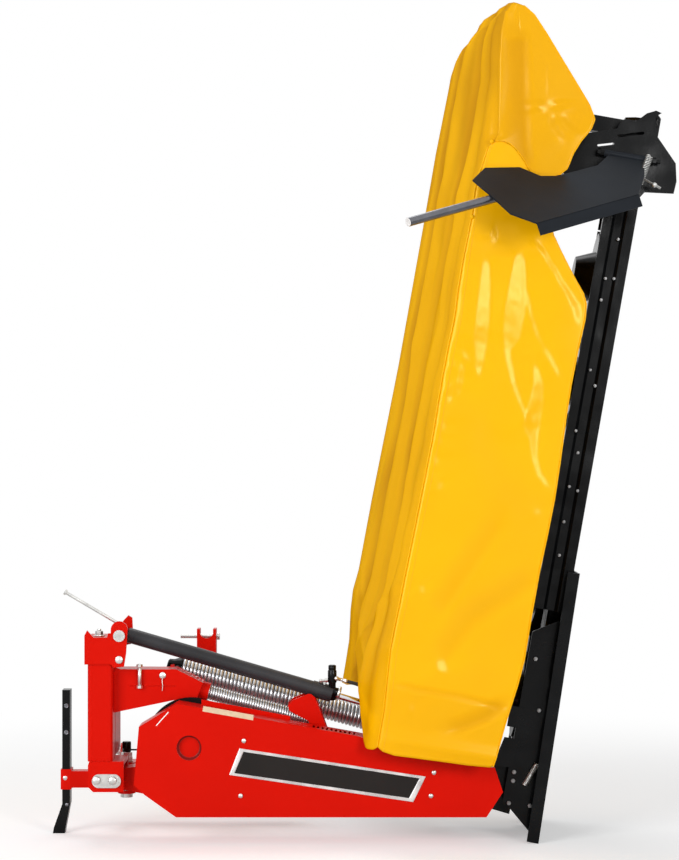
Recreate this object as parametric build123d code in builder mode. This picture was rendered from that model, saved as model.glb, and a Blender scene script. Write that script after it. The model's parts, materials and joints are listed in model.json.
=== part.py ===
"""Three-point disc mower, belt driven, folded up for transport and resting on its parking stand.

Millimetres. X runs to the right, Y in the direction of travel, Z up. The origin is the centre of the
bounding box's base. Headstock sizes are measured from the hitch: x from its centre line, y from the
plane of its pins. Cutterbar sizes are measured in the working position from the fold axis: u outwards
along the bar and v up, and then turned up by the fold.
"""
from build123d import *
import os
from math import atan2, cos, degrees, hypot, radians, sin, tan

# ---------------------------------------------------------------- driving dimensions
hitch_x = -607.0
hitch_y = 254.4

lean = 10.0
fold_x = 970.0

pin_clearance = 0.05
seat = 0.3
running_gap = 3.0

# three-point headstock, category 1
hitch_span = 683.0
hitch_height = 280.0
beam_height = 196.0
mast_height = 460.0
lower_pin_radius = 11.0
lower_pin_length = 88.0
top_pin_radius = 9.5
beam_size = 80.0
beam_wall = 6.0
cheek = 12.0
cheek_head = 34.0
mast_inside = 52.0
mast_plate = 12.0

# break-back hinge
swing_x = -308.0
swing_y = -130.0
swing_low = 150.0
swing_high = 241.0
swing_pin_radius = 15.0
swing_tube_radius = 29.0
lug_thick = 12.0

# column
column_x = -382.0
column_width = 96.0
column_rear = -440.0
column_depth = 120.0
column_low = 300.0
column_high = 762.0
column_wall = 8.0
web_front = -112.0
web_thick = 12.0
web_low = 310.0
web_high = 670.0

# base with the carrier arm's float pivot
base_left = -428.0
base_right = -292.0
base_low = 184.0
base_plate = 15.0
base_front = -247.0
float_x = -332.0
float_z = 227.0
float_pin_radius = 22.0

# carrier arm
arm_rear = -380.0
arm_front = -280.0
arm_height = 110.0
arm_wall = 7.0
pivot_tube_radius = 40.0
hinge_tube_radius = 68.0
hinge_bore_radius = 45.0

# lift cylinder
clevis_x = -308.0
clevis_z = 779.0
cylinder_y = -330.0
barrel_radius = 29.0
barrel_length = 840.0
gland_length = 80.0
rod_radius = 12.5
cylinder_pin_radius = 15.0
lever_x = -100.0
lever_z = 220.0
lever_pin_radius = 12.5
unfold_angle = 95.0
drift_in = 82.0
drift_side = 17.0

# belt guard
guard_rear = -530.0
guard_front = -410.0
guard_sheet = 3.0
guard_back_sheet = 5.0
pulley_x = -38.0
pulley_z = 364.0
recess_radius = 47.0
recess_depth = 26.0

# power take-off stub
stub_radius = 17.4
stub_length = 100.0
spline_count = 6
bearing_radius = 52.0

# balance springs
near_spring_y = -330.0
near_spring_radius = 29.0
far_spring_y = -205.0
far_spring_radius = 45.0
spring_slope = 15.3

# parking stand
stand_x = -529.0
stand_y = -250.0
stand_width = 30.0
stand_depth = 60.0
stand_top = 555.0
stand_travel = 50.0

# cutterbar, measured in work from the fold axis
bar_y = -150.0
bar_width = 200.0
bar_inner = -95.0
bar_tail = 190.0
bar_top = -249.0
bar_bottom = -309.0
disc_first = 350.0
disc_pitch = 415.0
disc_count = 6
disc_low = -205.0
disc_thick = 8.0
disc_length = 340.0
disc_width = 270.0
hub_radius = 45.0
boss_height = 30.0
dome_radius = 98.0
dome_height = 72.0
blade_reach = 232.0
blade_width = 46.0
blade_thick = 4.0

# hinge fork
fork_plate = 14.0
fork_gap = 5.0

# inner shoe
shoe_inner = -160.0
shoe_outer = 870.0
shoe_rear = -510.0
shoe_front = 100.0
shoe_low = -341.0
shoe_rise = 23.0
shoe_thick = 8.0
shoe_flange = 45.0

# the bar stands folded on the inner edge of its shoe
fold_z = -shoe_inner * cos(radians(lean)) - shoe_low * sin(radians(lean))

# the last disc sets where the bar, its outer shoe and the canopy end
disc_last = disc_first + (disc_count - 1) * disc_pitch
bar_outer = disc_last + bar_tail
outer_low = -326.0
outer_thick = 10.0

# canopy and cover
seam_y = -650.0
seam_v = 310.0
front_y = 500.0
front_v = 470.0
curtain_low = -170.0
cover_inner = 75.0
cover_outer = bar_outer + 265.0
cover_thick = 8.0
rail_radius = 17.0

# swath board
board_thick = 6.0
stick_radius = 16.5

out_dir = Vector(sin(radians(lean)), 0, cos(radians(lean)))
rise_dir = Vector(-cos(radians(lean)), 0, sin(radians(lean)))


# ---------------------------------------------------------------- planes
def rear(y, x=0.0, z=0.0):
    """Plane seen from behind: sketch x runs right, sketch y up, and extrusions grow to the rear."""
    return Plane(origin=(hitch_x + x, hitch_y + y, z), x_dir=(1, 0, 0), z_dir=(0, -1, 0))


def side(x, y=0.0, z=0.0):
    """Plane seen from the right: sketch x runs forward, sketch y up, and extrusions grow to the right."""
    return Plane(origin=(hitch_x + x, hitch_y + y, z), x_dir=(0, 1, 0), z_dir=(1, 0, 0))


def level(z, x=0.0, y=0.0):
    """Level plane: sketch x runs right, sketch y forward, and extrusions grow upwards."""
    return Plane(origin=(hitch_x + x, hitch_y + y, z), x_dir=(1, 0, 0), z_dir=(0, 0, 1))


def bar_point(u, y, v):
    """A point of the folded cutterbar, from its place in work."""
    return Vector(hitch_x + fold_x, hitch_y + y, fold_z) + out_dir * u + rise_dir * v


def bar_rear(y, u=0.0, v=0.0):
    """Cutterbar plane seen from behind: sketch x outwards, sketch y up, extrusions grow to the rear."""
    return Plane(origin=bar_point(u, y, v), x_dir=out_dir, z_dir=(0, -1, 0))


def bar_side(u, y=0.0, v=0.0):
    """Cutterbar plane seen from its outer end: sketch x forward, sketch y up, extrusions grow outwards."""
    return Plane(origin=bar_point(u, y, v), x_dir=(0, 1, 0), z_dir=out_dir)


def bar_level(v, u=0.0, y=0.0):
    """Cutterbar plane seen from above: sketch x outwards, sketch y forward, extrusions grow upwards."""
    return Plane(origin=bar_point(u, y, v), x_dir=out_dir, z_dir=rise_dir)


def along(start, end):
    """Plane at start, facing end."""
    return Plane(origin=start, z_dir=Vector(*end) - Vector(*start))


def save(part, name):
    """Write one finished piece."""
    part.label = name
    export_step(part, f"parts/{name}.step")


os.makedirs("parts", exist_ok=True)

# ================================================================ headstock
half_span = hitch_span / 2

with BuildPart() as hitch_beam:
    with BuildSketch(side(-half_span)):
        with Locations((0, beam_height)):
            Rectangle(beam_size, beam_size)
            Rectangle(beam_size - 2 * beam_wall, beam_size - 2 * beam_wall, mode=Mode.SUBTRACT)
    extrude(amount=hitch_span)
    for x in (-half_span, half_span - cheek):
        with BuildSketch(side(x)):
            with BuildLine():
                Polyline(
                    (-beam_size / 2 - 8, beam_height - beam_size / 2 - 8),
                    (beam_size / 2 + 8, beam_height - beam_size / 2 - 8),
                    (beam_size / 2 + 8, beam_height + 20),
                    (cheek_head, hitch_height),
                    (-cheek_head, hitch_height),
                    (-beam_size / 2 - 8, beam_height + 20),
                    close=True,
                )
            make_face()
            with Locations((0, hitch_height)):
                Circle(cheek_head)
                Circle(lower_pin_radius + pin_clearance, mode=Mode.SUBTRACT)
        extrude(amount=cheek)
    with BuildSketch(rear(-beam_size / 2, swing_x)):
        with Locations((0, (swing_low + swing_high) / 2)):
            Rectangle(2 * swing_tube_radius + 12, swing_high - swing_low + 2 * (running_gap + lug_thick))
    extrude(amount=lug_thick)
    for z in (swing_low - running_gap - lug_thick, swing_high + running_gap):
        with BuildSketch(level(z, swing_x, swing_y)):
            Circle(swing_tube_radius + 6)
            with Locations((0, (-swing_y - beam_size / 2) / 2)):
                Rectangle(2 * swing_tube_radius + 12, -swing_y - beam_size / 2)
            Circle(swing_pin_radius + pin_clearance, mode=Mode.SUBTRACT)
        extrude(amount=lug_thick)
save(hitch_beam.part, "hitch_beam")

mast_top = hitch_height + mast_height
mast_spread = 120.0
mast_knee = hitch_height + 0.6 * mast_height
mast_half = mast_inside / 2 + mast_plate
mast_depth = 70.0
web_sheet = 10.0
notch_height = mast_top + 20
beam_top = beam_height + beam_size / 2

with BuildPart() as mast:
    for hand in (-1, 1):
        with BuildSketch(rear(mast_depth / 2)):
            with BuildLine():
                Polyline(
                    (hand * mast_inside / 2, mast_top + 30),
                    (hand * mast_half, mast_top + 30),
                    (hand * mast_half, mast_knee),
                    (hand * (mast_half + mast_spread), beam_top),
                    (hand * (mast_inside / 2 + mast_spread), beam_top),
                    (hand * mast_inside / 2, mast_knee),
                    close=True,
                )
            make_face()
        extrude(amount=mast_depth)
    with BuildSketch(rear(-mast_depth / 2 + web_sheet)):
        with Locations((0, (mast_knee + notch_height) / 2)):
            Rectangle(mast_inside + 4, notch_height - mast_knee)
        with Locations((0, notch_height)):
            Circle(mast_inside / 2 + 1, mode=Mode.SUBTRACT)
    extrude(amount=web_sheet)
    with BuildSketch(side(-mast_half)):
        with Locations((0, mast_top)):
            Circle(top_pin_radius + pin_clearance)
    extrude(amount=2 * mast_half, mode=Mode.SUBTRACT)
save(mast.part, "mast")

with BuildPart() as top_link_pin:
    with BuildSketch(side(-mast_half - 66)):
        with Locations((0, mast_top)):
            Circle(top_pin_radius)
    extrude(amount=2 * mast_half + 70)
    with BuildSketch(side(mast_half + 3)):
        with Locations((0, mast_top)):
            Circle(top_pin_radius + 6)
    extrude(amount=10)
save(top_link_pin.part, "top_link_pin")

for name, hand in (("lower_pin_left", -1), ("lower_pin_right", 1)):
    with BuildPart() as lower_pin:
        with BuildSketch(side(hand * (half_span - cheek - 20))):
            with Locations((0, hitch_height)):
                Circle(lower_pin_radius)
        extrude(amount=hand * (cheek + 20 + lower_pin_length))
        for x, thick in ((half_span - cheek - 0.3, -14), (half_span + 0.3, 10)):
            with BuildSketch(side(hand * x)):
                with Locations((0, hitch_height)):
                    Circle(lower_pin_radius + 8)
            extrude(amount=hand * thick)
        tip = hand * (half_span + lower_pin_length - 14)
        with BuildSketch(level(hitch_height - lower_pin_radius, tip)):
            Circle(4)
        extrude(amount=2 * lower_pin_radius, mode=Mode.SUBTRACT)
    save(lower_pin.part, name)

swing_pin_top = swing_high + running_gap + lug_thick
with BuildPart() as break_back_pin:
    with BuildSketch(level(swing_low - running_gap - lug_thick - 16, swing_x, swing_y)):
        Circle(swing_pin_radius)
    extrude(amount=swing_pin_top - swing_low + running_gap + lug_thick + 16 + 80)
    with BuildSketch(level(swing_low - running_gap - lug_thick - 16, swing_x, swing_y)):
        Circle(swing_pin_radius + 9)
    extrude(amount=16 - seat)
    with BuildSketch(level(swing_pin_top + seat, swing_x, swing_y)):
        Circle(swing_pin_radius + 10)
    extrude(amount=6)
    with BuildSketch(level(swing_pin_top + seat + 6, swing_x, swing_y)):
        RegularPolygon(swing_pin_radius + 7, 6)
    extrude(amount=32)
save(break_back_pin.part, "break_back_pin")

# ================================================================ mower frame
column_front = column_rear + column_depth
column_left = column_x - column_width / 2
column_right = column_x + column_width / 2

with BuildPart() as column:
    with BuildSketch(level(column_low, column_x, (column_rear + column_front) / 2)):
        RectangleRounded(column_width, column_depth, 14)
        RectangleRounded(column_width - 2 * column_wall, column_depth - 2 * column_wall, 7, mode=Mode.SUBTRACT)
    extrude(amount=column_high - column_low)
    with BuildSketch(side(column_right - web_thick)):
        with BuildLine():
            Polyline(
                (column_front - 1, web_low),
                (web_front, web_low),
                (web_front, web_low + 250),
                (column_front - 1, web_high + 90),
                close=True,
            )
        make_face()
    extrude(amount=web_thick)
save(column.part, "column")

with BuildPart() as column_base:
    with BuildSketch(rear(base_front)):
        with BuildLine():
            Polyline(
                (base_left, base_low + 20),
                (base_left + 20, base_low),
                (base_right, base_low),
                (base_right, base_low + 118),
                (base_right - 14, column_low),
                (base_left + 5, column_low),
                (base_left, column_low - 14),
                close=True,
            )
        make_face()
    extrude(amount=base_front - column_rear)
    with BuildSketch(rear(base_front - base_plate)):
        with BuildLine():
            Polyline(
                (base_left + base_plate, base_low - 10),
                (base_right + 10, base_low - 10),
                (base_right + 10, column_low - base_plate),
                (base_left + base_plate, column_low - base_plate),
                close=True,
            )
        make_face()
    extrude(amount=base_front - column_rear - 2 * base_plate, mode=Mode.SUBTRACT)
    with BuildSketch(rear(base_front + 1)):
        with Locations((float_x, float_z)):
            Circle(float_pin_radius + pin_clearance)
    extrude(amount=base_front - column_rear + 2, mode=Mode.SUBTRACT)
save(column_base.part, "column_base")

with BuildPart() as break_back_tube:
    with BuildSketch(level(swing_low, swing_x, swing_y)):
        Circle(swing_tube_radius)
    extrude(amount=swing_high - swing_low)
    with BuildSketch(level(swing_low + 20, swing_x, (swing_y + base_front) / 2)):
        Rectangle(2 * swing_tube_radius - 20, base_front - swing_y)
    extrude(amount=swing_high - swing_low - 40)
    with BuildSketch(level(swing_low, swing_x, swing_y)):
        Circle(swing_pin_radius + pin_clearance)
    extrude(amount=swing_high - swing_low, mode=Mode.SUBTRACT)
save(break_back_tube.part, "break_back_tube")

keeper_thick = 8.0
with BuildPart() as float_pin:
    with BuildSketch(rear(base_front - 0.5)):
        with Locations((float_x, float_z)):
            Circle(float_pin_radius)
    extrude(amount=base_front - 0.5 - column_rear + keeper_thick + 4)
    with BuildSketch(rear(column_rear - 0.3)):
        with Locations((float_x - 25, float_z)):
            SlotOverall(110, 52)
    extrude(amount=keeper_thick)
save(float_pin.part, "float_pin")

arm_mid_z = (float_z + fold_z) / 2
with BuildPart() as carrier_arm:
    with BuildSketch(rear(arm_front)):
        with BuildLine():
            Polyline(
                (float_x, float_z - arm_height / 2 + 20),
                (float_x + 120, arm_mid_z - arm_height / 2),
                (fold_x, fold_z - arm_height / 2),
                (fold_x, fold_z + arm_height / 2),
                (float_x + 120, arm_mid_z + arm_height / 2),
                (float_x, float_z + arm_height / 2 - 20),
                close=True,
            )
        make_face()
    extrude(amount=arm_front - arm_rear)
    with BuildSketch(rear(base_front - base_plate - running_gap)):
        with Locations((float_x, float_z)):
            Circle(pivot_tube_radius)
    extrude(amount=base_front - column_rear - 2 * base_plate - 2 * running_gap)
    with BuildSketch(rear(base_front)):
        with Locations((float_x, float_z)):
            Circle(float_pin_radius + pin_clearance)
    extrude(amount=base_front - column_rear, mode=Mode.SUBTRACT)
    with BuildSketch(rear(arm_front)):
        with Locations((fold_x, fold_z)):
            Circle(hinge_tube_radius)
    extrude(amount=arm_front - arm_rear)
    with BuildSketch(rear(arm_front)):
        with Locations((fold_x, fold_z)):
            Circle(hinge_bore_radius)
    extrude(amount=arm_front - arm_rear, mode=Mode.SUBTRACT)
save(carrier_arm.part, "carrier_arm")

socket_low = 171.0
socket_high = 249.0
socket_wall = 5.0
with BuildPart() as stand_socket:
    with BuildSketch(level(socket_low, stand_x, stand_y)):
        Rectangle(stand_width + 2 * (socket_wall + seat), stand_depth + 2 * (socket_wall + seat))
    extrude(amount=socket_high - socket_low)
    socket_right = stand_x + stand_width / 2 + seat + socket_wall
    with BuildSketch(side(socket_right - 1)):
        with Locations((stand_y - 8, (socket_low + socket_high) / 2)):
            Rectangle(56, socket_high - socket_low - 14)
    extrude(amount=base_left - socket_right + 1)
    with BuildSketch(level(socket_low, stand_x, stand_y)):
        Rectangle(stand_width + 2 * seat, stand_depth + 2 * seat)
    extrude(amount=socket_high - socket_low, mode=Mode.SUBTRACT)
save(stand_socket.part, "stand_socket")

ear_thick = 12.0
ear_radius = 32.0
cap_plate = 10.0
cap_low = column_high - 92
cap_high = column_high + seat + cap_plate
lobe_left = clevis_x - ear_radius
lobe_mid = clevis_z + 23
front_ear = -274.0
with BuildPart() as cap_bracket:
    with BuildSketch(rear(column_rear - seat)):
        with BuildLine():
            Polyline(
                (column_left - 10, cap_low),
                (column_left - 10, cap_high + 8),
                (column_left, cap_high + 27),
                (column_left + 12, cap_high + 14),
                (column_left + 24, cap_high),
                (lobe_left - 14, cap_high),
                (lobe_left - 10, cap_high + 16),
                (lobe_left, cap_high + 16),
                (lobe_left, lobe_mid),
                (clevis_x + ear_radius, lobe_mid),
                (clevis_x + ear_radius - 2, clevis_z),
                (clevis_x + 26, clevis_z - 67),
                (clevis_x + 18, cap_low - 8),
                (clevis_x - 22, cap_low - 12),
                (column_right - 4, cap_low),
                close=True,
            )
        make_face()
        with Locations((clevis_x, lobe_mid)):
            Circle(ear_radius)
        with Locations((clevis_x, clevis_z)):
            Circle(cylinder_pin_radius + pin_clearance, mode=Mode.SUBTRACT)
    extrude(amount=ear_thick)
    with BuildSketch(level(column_high + seat, column_x, (column_rear + column_front) / 2)):
        Rectangle(column_width, column_depth + 24)
    extrude(amount=cap_plate)
    with BuildSketch(rear(front_ear)):
        with BuildLine():
            Polyline(
                (column_left, column_high + seat),
                (column_left, cap_high),
                (column_right + 6, cap_high),
                (clevis_x - 14, clevis_z + 22),
                (clevis_x + 2, clevis_z + 46),
                (clevis_x + 20, clevis_z + 65),
                (clevis_x + 35, clevis_z + 56),
                (clevis_x + 37, clevis_z + 18),
                (clevis_x + 30, clevis_z - 46),
                (column_right + 1, clevis_z - 56),
                (column_right + 1, column_high + seat),
                close=True,
            )
        make_face()
        with Locations((clevis_x, clevis_z)):
            Circle(cylinder_pin_radius + pin_clearance, mode=Mode.SUBTRACT)
    extrude(amount=ear_thick)
    with BuildSketch(level(column_high + seat, column_x, (column_front + front_ear - ear_thick) / 2)):
        Rectangle(column_width, front_ear - column_front)
    extrude(amount=cap_plate)
save(cap_bracket.part, "cap_bracket")

with BuildPart() as cylinder_pin:
    with BuildSketch(rear(front_ear + 12)):
        with Locations((clevis_x, clevis_z)):
            Circle(cylinder_pin_radius)
    extrude(amount=front_ear + 12 - column_rear + ear_thick + 8)
    with BuildSketch(rear(column_rear - ear_thick - 0.6)):
        with Locations((clevis_x, clevis_z)):
            Circle(cylinder_pin_radius + 7)
    extrude(amount=9)
save(cylinder_pin.part, "cylinder_pin")

spring_tan = tan(radians(spring_slope))
spring_dir = Vector(cos(radians(spring_slope)), 0, -sin(radians(spring_slope)))
tube_floor = 6.0
far_start_x = -105.0
far_start_z = 634.0
far_end_x = 700.0
spring_lug = 14.0
tube_end_x = 26.0
tube_end_z = 552.0
tube_start_x = -150.0
tube_wall = 5.0
arm_head = 656.0
arm_plate_front = -275.0
arm_plate_rear = -385.0


def spring_line(x, end_x, end_z):
    """Height of a spring's centre line at x."""
    return end_z - (x - end_x) * spring_tan


with BuildPart() as upper_arm:
    with BuildSketch(rear(arm_plate_front)):
        with BuildLine():
            Polyline(
                (column_right + seat, 480),
                (column_right + seat, arm_head),
                (clevis_x - 2, arm_head - 10),
                (tube_start_x + 5, 645),
                (-98, 646),
                (tube_end_x - 20, tube_end_z + 42),
                (tube_end_x - 44, tube_end_z - 18),
                (-92, 530),
                close=True,
            )
        make_face()
    extrude(amount=arm_plate_front - arm_plate_rear)
    start = Vector(hitch_x + tube_start_x, hitch_y + near_spring_y, spring_line(tube_start_x, tube_end_x, tube_end_z))
    end = Vector(hitch_x + tube_end_x, hitch_y + near_spring_y, tube_end_z)
    with BuildSketch(along(start, end)):
        Circle(near_spring_radius + 2 + tube_wall)
    extrude(amount=(end - start).length)
    with BuildSketch(along(start, end).offset(tube_floor - seat)):
        Circle(near_spring_radius + 2)
    extrude(amount=(end - start).length + 10, mode=Mode.SUBTRACT)
    lug_face = far_start_x - seat - far_spring_radius / 2 * sin(radians(spring_slope))
    with BuildSketch(side(lug_face - spring_lug)):
        with Locations(((arm_plate_front + far_spring_y + 34) / 2 - 1, far_start_z - 10)):
            Rectangle(far_spring_y + 36 - arm_plate_front, 52)
    extrude(amount=spring_lug)
save(upper_arm.part, "upper_arm")

latch_radius = 6.5
with BuildPart() as latch_rod:
    latch_y = front_ear + seat + latch_radius
    latch_low = Vector(hitch_x + clevis_x - 6, hitch_y + latch_y, clevis_z + 24)
    latch_high = Vector(hitch_x - 536, hitch_y + latch_y, 934)
    with BuildSketch(along(latch_low, latch_high)):
        Circle(latch_radius)
    extrude(amount=(latch_high - latch_low).length)
    with BuildSketch(along(latch_high, latch_low)):
        Circle(11)
    extrude(amount=8)
save(latch_rod.part, "latch_rod")

# balance springs and their outer brackets
near_end_x = 452.0
hook_length = 40.0
plug_length = 14.0


def spring_solid(y, start_x, start_z, end_x, radius, head):
    """A close-wound spring as a solid bar: it starts at full width over head, and ends in a tapered nose."""
    first = Vector(hitch_x + start_x, hitch_y + y, start_z)
    length = (end_x - start_x) / cos(radians(spring_slope))
    profile = Plane(origin=first, x_dir=(0, 1, 0), z_dir=Vector(0, 1, 0).cross(spring_dir))
    with BuildPart() as spring:
        with BuildSketch(profile):
            with BuildLine():
                Polyline(
                    (0, 0),
                    (radius * 0.5, 0),
                    (radius, head),
                    (radius, length - hook_length),
                    (radius * 0.5, length),
                    (0, length),
                    close=True,
                )
            make_face()
        revolve(axis=Axis(first, spring_dir))
    return spring


near_start_x = tube_start_x + tube_floor * spring_dir.X
near_start_z = spring_line(near_start_x, tube_end_x, tube_end_z)
near_spring = spring_solid(near_spring_y, near_start_x, near_start_z, near_end_x, near_spring_radius, hook_length)
save(near_spring.part, "near_spring")

far_spring = spring_solid(far_spring_y, far_start_x, far_start_z, far_end_x, far_spring_radius, plug_length)
save(far_spring.part, "far_spring")

near_anchor_z = spring_line(near_end_x, tube_end_x, tube_end_z)
far_anchor_z = far_start_z - (far_end_x - far_start_x) * spring_tan
anchor_radius = 10.0
anchor_plate = 10.0


def arm_top(x):
    """Height of the carrier arm's upper face at x."""
    share = (x - float_x - 120) / (fold_x - float_x - 120)
    return arm_mid_z + share * (fold_z - arm_mid_z) + arm_height / 2


with BuildPart() as spring_brackets:
    for y in (arm_front, arm_rear + anchor_plate):
        with BuildSketch(rear(y)):
            with BuildLine():
                Polyline(
                    (near_end_x - 121, near_anchor_z + 72),
                    (near_end_x - 101, near_anchor_z + 92),
                    (near_end_x - 44, near_anchor_z + 115),
                    (near_end_x - 32, near_anchor_z + 114),
                    (near_end_x - 18, near_anchor_z + 102),
                    (near_end_x + 24, near_anchor_z - 6),
                    (near_end_x + 78, arm_top(near_end_x + 78) + seat),
                    (near_end_x - 22, arm_top(near_end_x - 22) + seat),
                    (near_end_x - 42, near_anchor_z + 12),
                    (near_end_x - 90, near_anchor_z + 36),
                    (near_end_x - 117, near_anchor_z + 52),
                    close=True,
                )
            make_face()
        extrude(amount=anchor_plate)
    with BuildSketch(rear(arm_front - anchor_plate + 1)):
        with Locations(
            (
                near_end_x + (anchor_radius + seat) * spring_dir.X,
                near_anchor_z + (anchor_radius + seat) * spring_dir.Z,
            )
        ):
            Circle(anchor_radius)
    extrude(amount=arm_front - arm_rear - 2 * anchor_plate + 2)
    with BuildSketch(side(far_end_x + seat + far_spring_radius / 2 * sin(radians(spring_slope)))):
        with BuildLine():
            Polyline(
                (arm_front + seat, arm_top(far_end_x) - 60),
                (far_spring_y + 30, far_anchor_z - 40),
                (far_spring_y + 30, far_anchor_z + 24),
                (far_spring_y - 30, far_anchor_z + 24),
                (arm_front + seat, arm_top(far_end_x)),
                close=True,
            )
        make_face()
    extrude(amount=spring_lug)
save(spring_brackets.part, "spring_brackets")

# ---------------------------------------------------------------- belt guard
guard_outline = [
    (-227, 443),
    (-83, 530),
    (-60, 526),
    (603, 407),
    (1113, 288),
    (1143, 198),
    (1081, 103),
    (-87, 103),
    (-204, 186),
    (-246, 224),
]
slot_first = 430.0
slot_pitch = 17.0
slot_count = 10
top_slope = atan2(526 - 407, 603 + 60)

with BuildPart() as guard_cover:
    with BuildSketch(rear(guard_front)):
        with BuildLine():
            Polyline(*guard_outline, close=True)
        make_face()
    extrude(amount=guard_front - guard_rear)
    with BuildSketch(rear(guard_front)):
        with BuildLine():
            Polyline(*guard_outline, close=True)
        make_face()
        offset(amount=-guard_sheet, mode=Mode.REPLACE)
    extrude(amount=guard_front - guard_rear - guard_sheet, mode=Mode.SUBTRACT)
    with BuildSketch(rear(guard_rear + recess_depth)):
        with Locations((pulley_x, pulley_z)):
            Circle(recess_radius + guard_sheet)
    extrude(amount=recess_depth)
    with BuildSketch(rear(guard_rear + recess_depth - guard_sheet)):
        with Locations((pulley_x, pulley_z)):
            Circle(recess_radius)
    extrude(amount=recess_depth, mode=Mode.SUBTRACT)
    for count in range(slot_count):
        slot_x = slot_first + count * slot_pitch
        slot_z = 526 - (slot_x + 60) * tan(top_slope)
        with BuildSketch(level(slot_z - 12, slot_x, (guard_rear + guard_front) / 2)):
            SlotOverall(70, 8, rotation=90)
        extrude(amount=24, mode=Mode.SUBTRACT)
save(guard_cover.part, "guard_cover")

with BuildPart() as guard_back:
    with BuildSketch(rear(guard_front + guard_back_sheet + 0.3)):
        with BuildLine():
            Polyline(*guard_outline, close=True)
        make_face()
        with Locations((pulley_x, pulley_z)):
            Circle(bearing_radius - 8, mode=Mode.SUBTRACT)
        with Locations((fold_x, fold_z)):
            Circle(hinge_bore_radius, mode=Mode.SUBTRACT)
    extrude(amount=guard_back_sheet)
    back_front = guard_front + guard_back_sheet + 0.3
    for x in (120, 700):
        with BuildSketch(rear(arm_rear - 0.3)):
            with Locations((x, arm_mid_z - 15)):
                Rectangle(70, 60)
        extrude(amount=arm_rear - 0.3 - back_front)
save(guard_back.part, "guard_back")

with BuildPart() as input_bearing:
    with BuildSketch(rear(back_front + 0.3 + 14)):
        with Locations((pulley_x, pulley_z)):
            Circle(bearing_radius + 22)
    extrude(amount=14)
    with BuildSketch(rear(back_front + 90)):
        with Locations((pulley_x, pulley_z)):
            Circle(bearing_radius)
    extrude(amount=90 - 14)
    with BuildSketch(rear(back_front + 90)):
        with Locations((pulley_x, pulley_z)):
            Circle(stub_radius + pin_clearance)
    extrude(amount=90, mode=Mode.SUBTRACT)
    with BuildSketch(rear(back_front + 80)):
        with BuildLine():
            Polyline(
                (pulley_x - 40, pulley_z - 20),
                (pulley_x + 40, pulley_z - 20),
                (pulley_x + 55, arm_top(pulley_x + 55) + seat),
                (pulley_x - 55, arm_top(pulley_x - 55) + seat),
                close=True,
            )
        make_face()
        with Locations((pulley_x, pulley_z)):
            Circle(bearing_radius - 1, mode=Mode.SUBTRACT)
    extrude(amount=14)
save(input_bearing.part, "input_bearing")

with BuildPart() as pto_shaft:
    with BuildSketch(rear(back_front + 90 + stub_length)):
        with Locations((pulley_x, pulley_z)):
            Circle(stub_radius)
            with PolarLocations(stub_radius, spline_count):
                Rectangle(7, 9, mode=Mode.SUBTRACT)
    extrude(amount=stub_length - 18)
    with BuildSketch(rear(back_front + 90 + 18)):
        with Locations((pulley_x, pulley_z)):
            Circle(stub_radius)
    extrude(amount=100)
save(pto_shaft.part, "pto_shaft")

shield_radius = 176.0
shield_band = 24.0
shield_rear = back_front + seat
shield_depth = 16.0
with BuildPart() as pto_shield:
    with BuildSketch(rear(shield_rear + shield_depth)):
        with Locations((pulley_x, pulley_z)):
            Circle(shield_radius)
            Circle(shield_radius - shield_band, mode=Mode.SUBTRACT)
            with Locations((0, -shield_radius / 2 - 10)):
                Rectangle(2 * shield_radius + 2, shield_radius + 60, mode=Mode.SUBTRACT)
    extrude(amount=shield_depth)
save(pto_shield.part, "pto_shield")

# ================================================================ parking stand
leg_drop = 52.0
leg_bend = socket_low - stand_travel - 2 * running_gap
with BuildPart() as parking_stand:
    with BuildSketch(level(leg_bend, stand_x, stand_y)):
        Rectangle(stand_width, stand_depth)
    extrude(amount=stand_top - leg_bend)
    with BuildSketch(rear(stand_y + 25)):
        with BuildLine():
            Polyline(
                (stand_x - stand_width / 2, leg_bend + 20),
                (stand_x + stand_width / 2, leg_bend + 20),
                (stand_x + stand_width / 2, leg_bend),
                (stand_x - 4, 14),
                (stand_x - 6, 0),
                (stand_x - leg_drop, 0),
                (stand_x - leg_drop + 4, 22),
                (stand_x - stand_width / 2, leg_bend),
                close=True,
            )
        make_face()
    extrude(amount=50)
    for z in (492, 392):
        with BuildSketch(rear(stand_y + stand_depth / 2)):
            with Locations((stand_x, z)):
                Circle(6.5)
        extrude(amount=stand_depth, mode=Mode.SUBTRACT)
save(parking_stand.part, "parking_stand")

# ================================================================ lift cylinder
lever_point = Vector(hitch_x + fold_x + lever_x, hitch_y + cylinder_y, fold_z + lever_z)
clevis_point = Vector(hitch_x + clevis_x, hitch_y + cylinder_y, clevis_z)
closed_length = (lever_point - clevis_point).length
cylinder_plane = Plane(origin=clevis_point, x_dir=(0, 1, 0), z_dir=lever_point - clevis_point)
eye_rear = column_rear - 0.3
eye_width = front_ear - ear_thick - eye_rear - 2 * running_gap

with BuildPart() as lift_barrel:
    with BuildSketch(rear(front_ear - ear_thick - running_gap)):
        with Locations((clevis_x, clevis_z)):
            Circle(26)
            Circle(cylinder_pin_radius + pin_clearance, mode=Mode.SUBTRACT)
    extrude(amount=eye_width)
    with BuildSketch(cylinder_plane.offset(24)):
        Circle(barrel_radius)
    extrude(amount=barrel_length - 24)
    with BuildSketch(cylinder_plane.offset(barrel_length - gland_length)):
        Circle(barrel_radius + 3)
    extrude(amount=gland_length)
    with BuildSketch(cylinder_plane.offset(60)):
        Circle(rod_radius + 0.3)
    extrude(amount=barrel_length, mode=Mode.SUBTRACT)
save(lift_barrel.part, "lift_barrel")

fork_rear = arm_rear - fork_gap
fork_front = arm_front + fork_gap
lever_eye = fork_front - fork_rear - 2 * running_gap

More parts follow.
